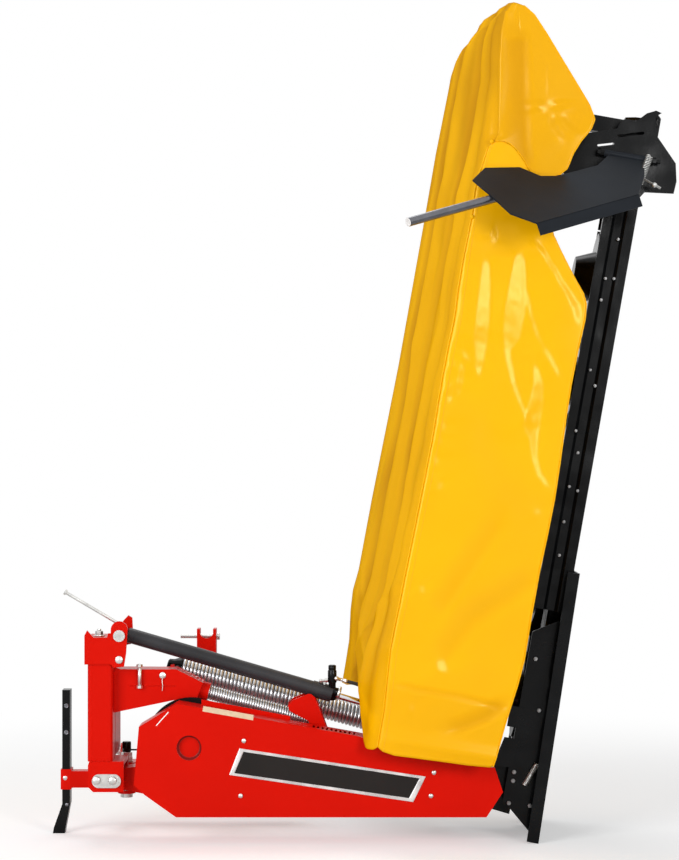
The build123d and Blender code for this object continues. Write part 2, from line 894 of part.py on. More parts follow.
with BuildPart() as lift_rod:
    with BuildSketch(cylinder_plane.offset(120)):
        Circle(rod_radius)
    extrude(amount=closed_length - 120)
    with BuildSketch(rear(fork_front - running_gap)):
        with Locations((fold_x + lever_x, fold_z + lever_z)):
            Circle(24)
    extrude(amount=lever_eye)
    with BuildSketch(rear(fork_front + fork_plate + 6)):
        with Locations((fold_x + lever_x, fold_z + lever_z)):
            Circle(lever_pin_radius)
    extrude(amount=fork_front - fork_rear + 2 * fork_plate + 12)
save(lift_rod.part, "lift_rod")

# ================================================================ folding bar
lever_u = lever_x * out_dir.X + lever_z * out_dir.Z
lever_v = lever_x * rise_dir.X + lever_z * rise_dir.Z
lever_reach = hypot(lever_u, lever_v)
lever_angle = degrees(atan2(lever_v, lever_u))
slot_mid = lever_reach - drift_in / 2
slot_length = drift_in + 2 * lever_pin_radius + 4
slot_width = 2 * (drift_side + lever_pin_radius + 2)

with BuildPart() as hinge_fork:
    for y in (fork_front + fork_plate, fork_rear):
        with BuildSketch(bar_rear(y)):
            Circle(hinge_tube_radius + 8)
            with BuildLine():
                Polyline(
                    (-85, bar_top + 25),
                    (-60, 0),
                    (0, 70),
                    (70, 20),
                    (120, bar_top + 25),
                    close=True,
                )
            make_face()
            with Locations(Rotation(0, 0, lever_angle)):
                with Locations((lever_reach / 2, 0)):
                    SlotOverall(lever_reach + 110, 104)
            with Locations(Rotation(0, 0, lever_angle)):
                with Locations((slot_mid, 0)):
                    Ellipse(slot_length / 2, slot_width / 2, mode=Mode.SUBTRACT)
            Circle(hinge_bore_radius, mode=Mode.SUBTRACT)
        extrude(amount=fork_plate)
    with BuildSketch(bar_rear(fork_front)):
        with Locations((17, bar_top + 45)):
            Rectangle(184, 24)
    extrude(amount=fork_front - fork_rear)
save(hinge_fork.part, "hinge_fork")

gear_rear = fork_front + fork_plate + 0.3
gear_top = 90.0
with BuildPart() as bevel_gearbox:
    with BuildSketch(bar_rear(gear_rear)):
        Circle(hinge_bore_radius - pin_clearance)
    extrude(amount=gear_rear - fork_rear + 10)
    with BuildSketch(bar_rear(bar_y + 80)):
        RectangleRounded(190, 2 * gear_top, 40)
    extrude(amount=bar_y + 80 - gear_rear)
    with BuildSketch(bar_level(bar_top + 14.3, 0, bar_y)):
        Circle(68)
    extrude(amount=-(bar_top + 14.3) - 60)
    with BuildSketch(bar_level(bar_top + 0.3, 0, bar_y)):
        Circle(92)
    extrude(amount=14)
save(bevel_gearbox.part, "bevel_gearbox")

with BuildPart() as cutterbar:
    with BuildSketch(bar_side(bar_inner)):
        with BuildLine():
            Polyline(
                (bar_y - bar_width / 2, bar_bottom + 12),
                (bar_y - bar_width / 2, bar_top - 8),
                (bar_y - bar_width / 2 + 10, bar_top),
                (bar_y + bar_width / 2 - 26, bar_top),
                (bar_y + bar_width / 2, bar_top - 24),
                (bar_y + bar_width / 2, bar_bottom + 20),
                (bar_y + bar_width / 2 - 24, bar_bottom),
                (bar_y - bar_width / 2 + 12, bar_bottom),
                close=True,
            )
        make_face()
    extrude(amount=bar_outer - bar_inner)
    with BuildSketch(bar_level(bar_top - 1)):
        for count in range(disc_count):
            with Locations((disc_first + count * disc_pitch, bar_y)):
                Circle(62)
    extrude(amount=boss_height + 1)
save(cutterbar.part, "cutterbar")

disc_centres = [disc_first + count * disc_pitch for count in range(disc_count)]
skid_thick = 6.0
first_skid = 2
lug_proud = 3.0
skid_top = bar_bottom - seat
guard_reach = bar_y + blade_reach + 12
guard_high = disc_low - blade_thick - 7
bar_front = bar_y + bar_width / 2
bar_rear_face = bar_y - bar_width / 2
with BuildPart() as disc_skids:
    for u in disc_centres[first_skid:]:
        skid_start = u - disc_pitch / 2 + 3
        skid_end = min(u + disc_pitch / 2 - 3, bar_outer - 6)
        with BuildSketch(bar_side(skid_start)):
            with BuildLine():
                Polyline(
                    (bar_front - 60, skid_top - skid_thick),
                    (guard_reach - 34, skid_top - skid_thick),
                    (guard_reach + skid_thick, skid_top + 16),
                    (guard_reach + skid_thick + 12, guard_high),
                    (guard_reach + 12, guard_high),
                    (guard_reach, skid_top + 20),
                    (guard_reach - 36, skid_top),
                    (bar_front - 60, skid_top),
                    close=True,
                )
            make_face()
        extrude(amount=skid_end - skid_start)
        if u < disc_last:
            with BuildSketch(bar_level(skid_top - skid_thick - lug_proud, u)):
                with Locations((0, (bar_front - 59 + bar_rear_face - 12) / 2)):
                    RectangleRounded(94, bar_front - 59 - bar_rear_face + 12, 10)
            extrude(amount=skid_thick + lug_proud)
save(disc_skids.part, "disc_skids")

for count, u in enumerate(disc_centres):
    # neighbours are timed a quarter turn apart, so that their blades pass
    timing = 90 * (count % 2)
    with BuildPart() as disc:
        with BuildSketch(bar_level(bar_top + boss_height + seat, u, bar_y)):
            Circle(hub_radius)
        extrude(amount=disc_low - bar_top - boss_height - seat)
        with BuildSketch(bar_level(disc_low, u, bar_y)):
            Ellipse(disc_length / 2, disc_width / 2, rotation=timing)
        extrude(amount=disc_thick)
        with BuildSketch(bar_level(disc_low + disc_thick, u, bar_y)):
            Circle(dome_radius)
        extrude(amount=dome_height, taper=24)
        with BuildSketch(bar_level(disc_low - blade_thick, u, bar_y)):
            with PolarLocations(blade_reach - 60, 2, start_angle=timing):
                Rectangle(120, blade_width)
        extrude(amount=blade_thick)
    save(disc.part, f"disc_{count + 1}")



def shoe_under(u):
    """Height of the inner shoe's underside at u."""
    return shoe_low + (u - shoe_inner) / (shoe_outer - shoe_inner) * shoe_rise


def shoe_over(u):
    """Height of the inner shoe's upper face at u."""
    return shoe_under(u) + shoe_thick


packer_half = 30.0
with BuildPart() as inner_shoe:
    with BuildSketch(bar_rear(shoe_front)):
        with BuildLine():
            Polyline(
                (shoe_inner, shoe_under(shoe_inner)),
                (shoe_outer, shoe_under(shoe_outer)),
                (shoe_outer, shoe_over(shoe_outer)),
                (shoe_inner, shoe_over(shoe_inner)),
                close=True,
            )
        make_face()
    extrude(amount=shoe_front - shoe_rear)
    with BuildSketch(bar_level(shoe_low - 1)):
        with BuildLine():
            Polyline(
                (shoe_outer - 120, shoe_front - 30),
                (shoe_outer + 1, bar_front + 10),
                (shoe_outer + 1, shoe_front + 1),
                (shoe_inner + 120, shoe_front + 1),
                (shoe_inner + 120, shoe_front),
                close=True,
            )
        make_face()
        with BuildLine():
            Polyline(
                (shoe_inner + 120, shoe_front + 1),
                (shoe_inner - 1, shoe_front + 1),
                (shoe_inner - 1, shoe_front - 60),
                close=True,
            )
        make_face()
    extrude(amount=shoe_rise + shoe_thick + 2, mode=Mode.SUBTRACT)
    with BuildSketch(bar_rear(shoe_rear + shoe_thick)):
        with BuildLine():
            Polyline(
                (shoe_inner, shoe_under(shoe_inner)),
                (shoe_outer, shoe_under(shoe_outer)),
                (shoe_outer, shoe_under(shoe_outer) + shoe_flange),
                (shoe_inner, shoe_under(shoe_inner) + shoe_flange),
                close=True,
            )
        make_face()
    extrude(amount=shoe_thick)
    with BuildSketch(bar_rear(shoe_front)):
        with BuildLine():
            Polyline(
                (shoe_inner + 120, shoe_under(shoe_inner + 120)),
                (shoe_outer - 120, shoe_under(shoe_outer - 120)),
                (shoe_outer - 120, guard_high),
                (shoe_inner + 180, guard_high),
                close=True,
            )
        make_face()
    extrude(amount=shoe_thick)
    for u in (30, disc_first + disc_pitch / 2, shoe_outer - 60):
        with BuildSketch(bar_rear(bar_y - 10)):
            with BuildLine():
                Polyline(
                    (u - packer_half, shoe_over(u - packer_half) - 1),
                    (u + packer_half, shoe_over(u + packer_half) - 1),
                    (u + packer_half, bar_bottom - seat),
                    (u - packer_half, bar_bottom - seat),
                    close=True,
                )
            make_face()
        extrude(amount=2 * packer_half)
save(inner_shoe.part, "inner_shoe")

plate_y = -440.0
plate_thick = 8.0
plate_high = -186.0
with BuildPart() as inner_plate:
    with BuildSketch(bar_rear(plate_y)):
        with BuildLine():
            Polyline(
                (shoe_inner + 6, shoe_over(shoe_inner + 6) + seat),
                (-30, plate_high),
                (shoe_outer - 250, plate_high),
                (shoe_outer - 170, shoe_over(shoe_outer - 170) + seat),
                close=True,
            )
        make_face()
    extrude(amount=plate_thick)
    for u in (200, 560):
        with BuildSketch(bar_rear(bar_rear_face - seat)):
            with Locations((u, (bar_top + bar_bottom) / 2)):
                Rectangle(60, 32)
        extrude(amount=bar_rear_face - seat - plate_y)
save(inner_plate.part, "inner_plate")

rail_rear = -440.0
rail_fold = 12.0
rail_sheet = 5.0
rail_low = bar_bottom + 7
rail_depth = 42.0
rail_lines = (
    (rail_rear + rail_depth, rail_low),
    (rail_rear, rail_low),
    (rail_rear, rail_low + 36),
    (rail_rear + rail_fold, rail_low + 36 + rail_fold),
    (rail_rear + rail_fold, rail_low + 78),
    (rail_rear, rail_low + 78 + rail_fold),
    (rail_rear, rail_low + 124),
)
with BuildPart() as rear_rail:
    with BuildSketch(bar_side(shoe_outer - 160)):
        with BuildLine():
            Polyline(
                *rail_lines,
                (rail_rear + rail_sheet, rail_low + 124),
                (rail_rear + rail_sheet, rail_low + 80 + rail_fold),
                (rail_rear + rail_fold + rail_sheet, rail_low + 80),
                (rail_rear + rail_fold + rail_sheet, rail_low + 34 + rail_fold),
                (rail_rear + rail_sheet, rail_low + 34),
                (rail_rear + rail_sheet, rail_low + rail_sheet),
                (rail_rear + rail_depth, rail_low + rail_sheet),
                close=True,
            )
        make_face()
    extrude(amount=bar_outer - 135 - shoe_outer + 160)
    for u in disc_centres[1:-1]:
        with BuildSketch(bar_level(rail_low, u + disc_pitch / 2)):
            with Locations((0, (rail_rear + rail_sheet + bar_rear_face - seat) / 2)):
                Rectangle(60, bar_rear_face - seat - rail_rear - rail_sheet)
        extrude(amount=8)
        with BuildSketch(bar_rear(bar_rear_face - seat, u + disc_pitch / 2, rail_low + 17)):
            Rectangle(60, 34)
        extrude(amount=8)
save(rear_rail.part, "rear_rail")

outer_shoe_rear = -470.0
outer_front = bar_y + 170
outer_top = outer_low + outer_thick
shoe_wall = 12.0
with BuildPart() as outer_shoe:
    with BuildSketch(bar_rear(outer_front)):
        with BuildLine():
            Polyline(
                (bar_outer - 185, outer_low),
                (bar_outer + 2, outer_low),
                (bar_outer + 30, outer_low + 27),
                (bar_outer + 30 - shoe_wall, outer_low + 30),
                (bar_outer - 2, outer_top),
                (bar_outer - 185, outer_top),
                close=True,
            )
        make_face()
    extrude(amount=outer_front - outer_shoe_rear)
    with BuildSketch(bar_side(bar_outer + 30 - shoe_wall)):
        with BuildLine():
            Polyline(
                (outer_front, outer_low + 26),
                (outer_front, disc_low - 50),
                (outer_front - 40, disc_low - blade_thick - 12),
                (bar_y - 20, disc_low - blade_thick - 12),
                (bar_y - 70, disc_low - 50),
                (bar_y - 90, outer_low + 26),
                close=True,
            )
        make_face()
    extrude(amount=shoe_wall)
    with BuildSketch(bar_level(outer_top - 1, bar_outer - 50, bar_y - 40)):
        Rectangle(2 * packer_half, 2 * packer_half)
    extrude(amount=bar_bottom - seat - outer_top + 1)
save(outer_shoe.part, "outer_shoe")

# ---------------------------------------------------------------- canopy
cover_slope = degrees(atan2(front_v - seam_v, front_y - seam_y))
panel_width = hypot(front_v - seam_v, front_y - seam_y)


tilt_dir = Vector(0, cos(radians(cover_slope)), 0) + rise_dir * sin(radians(cover_slope))


def top_plane(depth):
    """Plane under the canopy's top, depth below its outside: sketch x outwards, sketch y forward."""
    normal = out_dir.cross(tilt_dir)
    return Plane(origin=bar_point(0, seam_y, seam_v) - normal * depth, x_dir=out_dir, z_dir=normal)


def canopy_v(y):
    """Height of the canopy's outside at y."""
    return seam_v + (y - seam_y) * tan(radians(cover_slope))


under_cover = (cover_thick + seat) / cos(radians(cover_slope))

with BuildPart() as cover_top:
    with BuildSketch(top_plane(cover_thick)):
        with BuildLine():
            Polyline(
                (cover_inner, 0),
                (cover_outer, 0),
                (cover_outer - 35, panel_width),
                (215, panel_width),
                (275, panel_width - 700),
                (275, 265),
                (190, 250),
                (190, 130),
                (cover_inner, 95),
                close=True,
            )
        make_face()
    extrude(amount=cover_thick)
save(cover_top.part, "cover_top")

with BuildPart() as cover_curtain:
    with BuildSketch(bar_rear(seam_y)):
        with BuildLine():
            Polyline(
                (cover_inner, seam_v),
                (cover_outer, seam_v),
                (cover_outer - 15, seam_v - 130),
                (2540, -72),
                (2400, -20),
                (2400, 165),
                (2440, 270),
                (2230, 150),
                (2100, 10),
                (2043, -17),
                (1855, curtain_low),
                (cover_inner + 22, curtain_low + 45),
                close=True,
            )
        make_face()
    extrude(amount=cover_thick)
save(cover_curtain.part, "cover_curtain")

with BuildPart() as cover_end:
    with BuildSketch(bar_side(cover_outer - 60)):
        with BuildLine():
            Polyline(
                (seam_y + seat, seam_v - 130),
                (seam_y + seat, canopy_v(seam_y) - under_cover),
                (front_y - 5, canopy_v(front_y - 5) - under_cover),
                (front_y - 5, front_v - 110),
                close=True,
            )
        make_face()
    extrude(amount=cover_thick)
save(cover_end.part, "cover_end")

rail_depth = cover_thick + rail_radius + seat
rail_places = (rail_radius + 22, panel_width - rail_radius - 22)
rail_inner = 300.0
rail_outer = cover_outer - 90
rail_plane = top_plane(rail_depth)


def rail_point(u, place):
    """A point on the middle of the canopy's tubes, place forward of the rear seam."""
    return rail_plane.origin + out_dir * u + tilt_dir * place


with BuildPart() as canopy_rails:
    for place in rail_places:
        low = rail_point(rail_inner, place)
        high = rail_point(rail_outer, place)
        with BuildSketch(along(low, high)):
            Circle(rail_radius)
        extrude(amount=(high - low).length)
save(canopy_rails.part, "canopy_rails")

post_size = 60.0
post_u = bar_outer - 48
post_y = bar_y - 242
cross_radius = rail_radius - 3
cross_first = rail_inner + 40
cross_pitch = (post_u - cross_first) / 3
cross_places = [cross_first + count * cross_pitch for count in range(4)]
with BuildPart() as canopy_crossbars:
    for u in cross_places:
        low = rail_point(u, rail_places[0] + rail_radius)
        high = rail_point(u, rail_places[1] - rail_radius)
        with BuildSketch(along(low, high)):
            Circle(cross_radius)
        extrude(amount=(high - low).length)
save(canopy_crossbars.part, "canopy_crossbars")


def under_cross(y):
    """Height of the crossbars' underside at y."""
    return canopy_v(y) - (rail_depth + cross_radius + seat) / cos(radians(cover_slope))


saddle_thick = 12.0
saddle_length = 220.0
with BuildPart() as outer_post:
    with BuildSketch(bar_level(outer_top + seat, post_u, post_y)):
        Rectangle(post_size, post_size)
        Rectangle(post_size - 10, post_size - 10, mode=Mode.SUBTRACT)
    extrude(amount=under_cross(post_y) - saddle_thick - outer_top - seat)
    with BuildSketch(bar_side(post_u - post_size / 2)):
        with BuildLine():
            Polyline(
                (post_y - saddle_length / 2, under_cross(post_y - saddle_length / 2)),
                (post_y + saddle_length / 2, under_cross(post_y + saddle_length / 2)),
                (post_y + saddle_length / 2, under_cross(post_y + saddle_length / 2) - saddle_thick),
                (post_y - saddle_length / 2, under_cross(post_y - saddle_length / 2) - saddle_thick),
                close=True,
            )
        make_face()
    extrude(amount=post_size)
save(outer_post.part, "outer_post")

strut_front = bar_y + 35
strut_thick = 50.0
strut_top = under_cross(strut_front - strut_thick)
with BuildPart() as inner_post:
    with BuildSketch(bar_level(gear_top + seat, 20, bar_y)):
        Rectangle(120, 90)
    extrude(amount=8)
    with BuildSketch(bar_rear(strut_front)):
        with BuildLine():
            Polyline(
                (-30, gear_top + 8),
                (50, gear_top + 8),
                (rail_inner + 70, strut_top - 32),
                (rail_inner + 70, strut_top),
                (rail_inner - 5, strut_top),
                close=True,
            )
        make_face()
    extrude(amount=strut_thick)
save(inner_post.part, "inner_post")

# ================================================================ swath board
hinge_u = bar_outer - 165.0
hinge_y = -505.0
board_angle = 39.6
hinge_pin_radius = 8.0
knuckle_radius = 14.0
bracket_thick = 8.0
lug_lows = (-318.0, -132.0)
board_dir = Vector(0, -cos(radians(board_angle)), 0) - out_dir * sin(radians(board_angle))
board_normal = rise_dir.cross(board_dir)
board_plane = Plane(origin=bar_point(hinge_u, hinge_y, 0), x_dir=rise_dir, z_dir=board_normal)

bracket_front = outer_shoe_rear - seat
slot_lean = 106.5
with BuildPart() as board_bracket:
    with BuildSketch(bar_rear(bracket_front, hinge_u)):
        with BuildLine():
            Polyline(
                (50, 22),
                (70, -75),
                (102, -168),
                (122, -174),
                (141, -190),
                (145, -207),
                (136, -229),
                (178, -269),
                (194, -302),
                (188, -324),
                (172, -304),
                (99, -322),
                (10, -409),
                (-57, -424),
                (-104, -421),
                (-118, -312),
                (-176, -275),
                (-150, -150),
                (-118, 26),
                close=True,
            )
        make_face()
        with Locations(Location((88, -222), slot_lean)):
            SlotOverall(104, 11, mode=Mode.SUBTRACT)
        with Locations(Location((35, -136), slot_lean)):
            SlotOverall(64, 8, mode=Mode.SUBTRACT)
    extrude(amount=bracket_thick)
    for v in lug_lows:
        with BuildSketch(bar_level(v, hinge_u, hinge_y)):
            Circle(knuckle_radius)
            with Locations((0, (outer_shoe_rear - hinge_y) / 2)):
                Rectangle(2 * knuckle_radius, outer_shoe_rear - 1 - hinge_y)
            Circle(hinge_pin_radius + pin_clearance, mode=Mode.SUBTRACT)
        extrude(amount=12)
save(board_bracket.part, "board_bracket")

with BuildPart() as board_pin:
    with BuildSketch(bar_level(lug_lows[0] - 30, hinge_u, hinge_y)):
        Circle(hinge_pin_radius)
    extrude(amount=lug_lows[1] - lug_lows[0] + 12 + 30 + 14)
    with BuildSketch(bar_level(lug_lows[1] + 12.3, hinge_u, hinge_y)):
        RegularPolygon(14, 6)
    extrude(amount=12)
    with BuildSketch(bar_level(lug_lows[0] - 12.3, hinge_u, hinge_y)):
        RegularPolygon(14, 6)
    extrude(amount=12)
save(board_pin.part, "board_pin")

lip = 45.0
with BuildPart() as swath_board:
    with BuildSketch(board_plane):
        with BuildLine():
            Polyline(
                (lug_lows[1] - 20, knuckle_radius - 4),
                (-110, 100),
                (-29, 166),
                (44, 222),
                (100, 240),
                (180, 206),
                (308, 251),
                (348, 345),
                (276, 423),
                (197, 518),
                (98, 549),
                (-268, 246),
                (lug_lows[0] + 30, 120),
                (lug_lows[0] + 30, knuckle_radius - 4),
                close=True,
            )
        make_face()
    extrude(amount=board_thick / 2, both=True)
    lip_start = board_plane.origin + rise_dir * 98 + board_dir * 549
    lip_end = board_plane.origin + rise_dir * -268 + board_dir * 246
    lip_run = lip_end - lip_start
    with BuildSketch(Plane(origin=lip_start, x_dir=lip_run, z_dir=Vector(0, 1, 0).cross(lip_run))):
        with Locations((lip_run.length / 2, 0)):
            Rectangle(lip_run.length, board_thick)
    extrude(amount=lip)
    with BuildSketch(bar_level(lug_lows[0] + 13, hinge_u, hinge_y)):
        Circle(knuckle_radius)
    extrude(amount=lug_lows[1] - lug_lows[0] - 14)
    with BuildSketch(bar_level(lug_lows[0] + 12, hinge_u, hinge_y)):
        Circle(hinge_pin_radius + pin_clearance)
    extrude(amount=lug_lows[1] - lug_lows[0], mode=Mode.SUBTRACT)
save(swath_board.part, "swath_board")

stick_plane = board_plane.offset(-board_thick / 2 - stick_radius - 0.3)
stick_inner = stick_plane.from_local_coords((28, 213, 0))
stick_outer = stick_plane.from_local_coords((556, 653, 0))
with BuildPart() as swath_stick:
    with BuildSketch(along(stick_inner, stick_outer)):
        Circle(stick_radius)
    extrude(amount=(stick_outer - stick_inner).length)
save(swath_stick.part, "swath_stick")
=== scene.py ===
"""Looks for a three-point disc mower folded for transport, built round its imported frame.

Metres. Two sets of coordinates are used, as in the CAD: at(x, y, z) is measured in millimetres from the
hitch, and bar(u, y, v) in millimetres along the folded cutterbar from its fold axis.
"""
import json
import math

import bmesh
import bpy
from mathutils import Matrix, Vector, noise


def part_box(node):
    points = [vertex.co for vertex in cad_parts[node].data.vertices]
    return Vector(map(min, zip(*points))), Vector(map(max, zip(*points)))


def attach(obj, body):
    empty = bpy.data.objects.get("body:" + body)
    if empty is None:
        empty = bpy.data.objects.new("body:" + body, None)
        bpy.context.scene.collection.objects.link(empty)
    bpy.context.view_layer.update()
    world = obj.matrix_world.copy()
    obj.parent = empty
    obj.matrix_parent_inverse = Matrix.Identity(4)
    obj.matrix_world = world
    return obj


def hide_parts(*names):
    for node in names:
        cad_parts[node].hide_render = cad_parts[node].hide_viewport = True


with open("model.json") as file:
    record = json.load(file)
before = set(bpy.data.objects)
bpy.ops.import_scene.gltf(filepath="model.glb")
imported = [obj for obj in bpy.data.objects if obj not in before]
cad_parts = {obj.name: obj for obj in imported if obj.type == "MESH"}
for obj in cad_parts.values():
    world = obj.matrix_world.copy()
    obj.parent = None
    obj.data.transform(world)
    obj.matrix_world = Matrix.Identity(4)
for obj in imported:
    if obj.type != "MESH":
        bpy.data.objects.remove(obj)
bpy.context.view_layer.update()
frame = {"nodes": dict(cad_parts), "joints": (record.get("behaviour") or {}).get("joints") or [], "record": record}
record = frame["record"]
joints = {joint["name"]: joint for joint in frame["joints"]}
mounts = {mount["name"]: mount for mount in record["mounts"]}

# ------------------------------------------------------------------ coordinates
LEAN = math.radians(10)
OUT = Vector((math.sin(LEAN), 0, math.cos(LEAN)))
RISE = Vector((-math.cos(LEAN), 0, math.sin(LEAN)))
REAR = Vector((0, -1, 0))
UP = Vector((0, 0, 1))
HITCH = (Vector(mounts["lower_link_left"]["pos_m"]) + Vector(mounts["lower_link_right"]["pos_m"])) / 2
HITCH.z = 0
FOLD = Vector(joints["fold"]["pos_m"])
FOLD.y = HITCH.y


def at(x, y, z):
    """A point measured from the hitch, in millimetres."""
    return HITCH + Vector((x, y, z)) / 1000


def bar(u, y, v):
    """A point measured along the folded cutterbar, in millimetres."""
    return FOLD + (OUT * u + RISE * v) / 1000 + Vector((0, y / 1000, 0))


# ------------------------------------------------------------------ camera, floor and light
# where the camera stands, and its focal length in the pixels of a picture of this height
CAMERA_AT = at(528, -9500, 1560)
IMAGE_HEIGHT = 860
FOCAL_PIXELS = 2385
SENSOR = 36.0

camera_data = bpy.data.cameras.new("camera")
camera_data.sensor_width = SENSOR
camera_data.lens = FOCAL_PIXELS / IMAGE_HEIGHT * SENSOR
camera = bpy.data.objects.new("camera", camera_data)
camera.location = CAMERA_AT
camera.rotation_euler = (math.radians(90), 0, 0)
bpy.context.scene.collection.objects.link(camera)
bpy.context.scene.camera = camera
bpy.context.scene.view_settings.view_transform = "Standard"


def area_light(name, place, target, size, power):
    """A soft lamp at place, aimed at target."""
    lamp = bpy.data.lights.new(name, "AREA")
    lamp.size = size
    lamp.energy = power
    holder = bpy.data.objects.new(name, lamp)
    holder.location = place
    holder.rotation_euler = (Vector(target) - Vector(place)).to_track_quat("-Z", "Y").to_euler()
    bpy.context.scene.collection.objects.link(holder)


# the studio's soft lamps, as (name, place, target, size in metres, watts)
LAMPS = [
    ("key", (4.1, -8.1, 2.8), (0.3, -0.4, 1.6), 2.1, 240),
    ("fill", (-5.2, -6.8, 3.2), (0, -0.2, 1.5), 4.0, 370),
    ("top", (-1.0, 2.5, 6.5), (0.2, 0, 1.2), 3.0, 90),
]
for lamp in LAMPS:
    area_light(*lamp)

# the white world's strength as a light, and where the camera, metal or glass sees it
WORLD_LIGHT, WORLD_SEEN = 0.36, 1.0


def mix_shaders(tree, share, first, second):
    """Mix two shaders of a node tree by the share that a socket gives to the second."""
    mix = tree.nodes.new("ShaderNodeMixShader")
    for socket, source in zip(mix.inputs, (share, first, second)):
        tree.links.new(source, socket)
    return mix.outputs[0]


def studio_world():
    """A backdrop that is white where it is seen, directly or in metal and glass, and dimmer as a light."""
    world = bpy.data.worlds.new("studio")
    world.use_nodes = True
    tree = world.node_tree
    nodes, links = tree.nodes, tree.links
    nodes.clear()
    path = nodes.new("ShaderNodeLightPath")
    seen = path.outputs["Is Camera Ray"]
    for way in ("Is Glossy Ray", "Is Transmission Ray"):
        either = nodes.new("ShaderNodeMath")
        either.operation = "MAXIMUM"
        links.new(seen, either.inputs[0])
        links.new(path.outputs[way], either.inputs[1])
        seen = either.outputs[0]
    whites = []
    for strength in (WORLD_LIGHT, WORLD_SEEN):
        white = nodes.new("ShaderNodeBackground")
        white.inputs["Color"].default_value = (1, 1, 1, 1)
        white.inputs["Strength"].default_value = strength
        whites.append(white.outputs[0])
    links.new(mix_shaders(tree, seen, *whites), nodes.new("ShaderNodeOutputWorld").inputs[0])
    return world


bpy.context.scene.world = studio_world()

# half the floor's side, and between which distances it fades to white, in metres
FLOOR_REACH = 30
FADE_FROM, FADE_TO = 1.6, 4.2
# the paper's colour, and how much the camera sees it lifted towards the white around it
PAPER_GREY = 0.84
PAPER_LIFT = 0.36


def floor_material():
    """White paper that keeps the shadow near the object and fades to the white backdrop further out."""
    made = bpy.data.materials.new("floor_paper")
    made.use_nodes = True
    tree = made.node_tree
    nodes, links = tree.nodes, tree.links
    paper = nodes["Principled BSDF"]
    paper.inputs["Base Color"].default_value = (PAPER_GREY, PAPER_GREY, PAPER_GREY, 1)
    paper.inputs["Roughness"].default_value = 0.9
    paper.inputs["Specular IOR Level"].default_value = 0.0
    grain = nodes.new("ShaderNodeTexNoise")
    grain.inputs["Scale"].default_value = 60
    rough = nodes.new("ShaderNodeBump")
    rough.inputs["Strength"].default_value = 0.02
    links.new(grain.outputs["Fac"], rough.inputs["Height"])
    links.new(rough.outputs["Normal"], paper.inputs["Normal"])
    lift = nodes.new("ShaderNodeEmission")
    lift.inputs["Strength"].default_value = PAPER_LIFT
    lifted = nodes.new("ShaderNodeAddShader")
    links.new(paper.outputs[0], lifted.inputs[0])
    links.new(lift.outputs[0], lifted.inputs[1])
    place = nodes.new("ShaderNodeTexCoord")
    away = nodes.new("ShaderNodeVectorMath")
    away.operation = "LENGTH"
    links.new(place.outputs["Object"], away.inputs[0])
    fade = nodes.new("ShaderNodeMapRange")
    fade.interpolation_type = "SMOOTHSTEP"
    fade.inputs["From Min"].default_value = FADE_FROM
    fade.inputs["From Max"].default_value = FADE_TO
    links.new(away.outputs["Value"], fade.inputs["Value"])
    white = nodes.new("ShaderNodeEmission")
    white.inputs["Strength"].default_value = 1.0
    seen = mix_shaders(tree, fade.outputs["Result"], lifted.outputs[0], white.outputs[0])
    camera_ray = nodes.new("ShaderNodeLightPath").outputs["Is Camera Ray"]
    whole = mix_shaders(tree, camera_ray, paper.outputs[0], seen)
    links.new(whole, nodes["Material Output"].inputs["Surface"])
    return made


floor_mesh = bpy.data.meshes.new("floor")
SIGNS = ((-1, -1), (1, -1), (1, 1), (-1, 1))
floor_mesh.from_pydata([(x * FLOOR_REACH, y * FLOOR_REACH, 0) for x, y in SIGNS], [], [(0, 1, 2, 3)])
floor = bpy.data.objects.new("floor", floor_mesh)
floor_mesh.materials.append(floor_material())
bpy.context.scene.collection.objects.link(floor)


# ------------------------------------------------------------------ materials
# where in the slow noise a colour reaches its darkest and its lightest
DRIFT_ENDS = (0.3, 0.7)
# the slow waves' scale, and how deep the waves and the fine grain are, in metres
WAVE_SCALE, WAVE_DEPTH, GRAIN_DEPTH = 4.0, 0.02, 0.001
# the least roughness that a surface drifts to
SMOOTHEST = 0.02


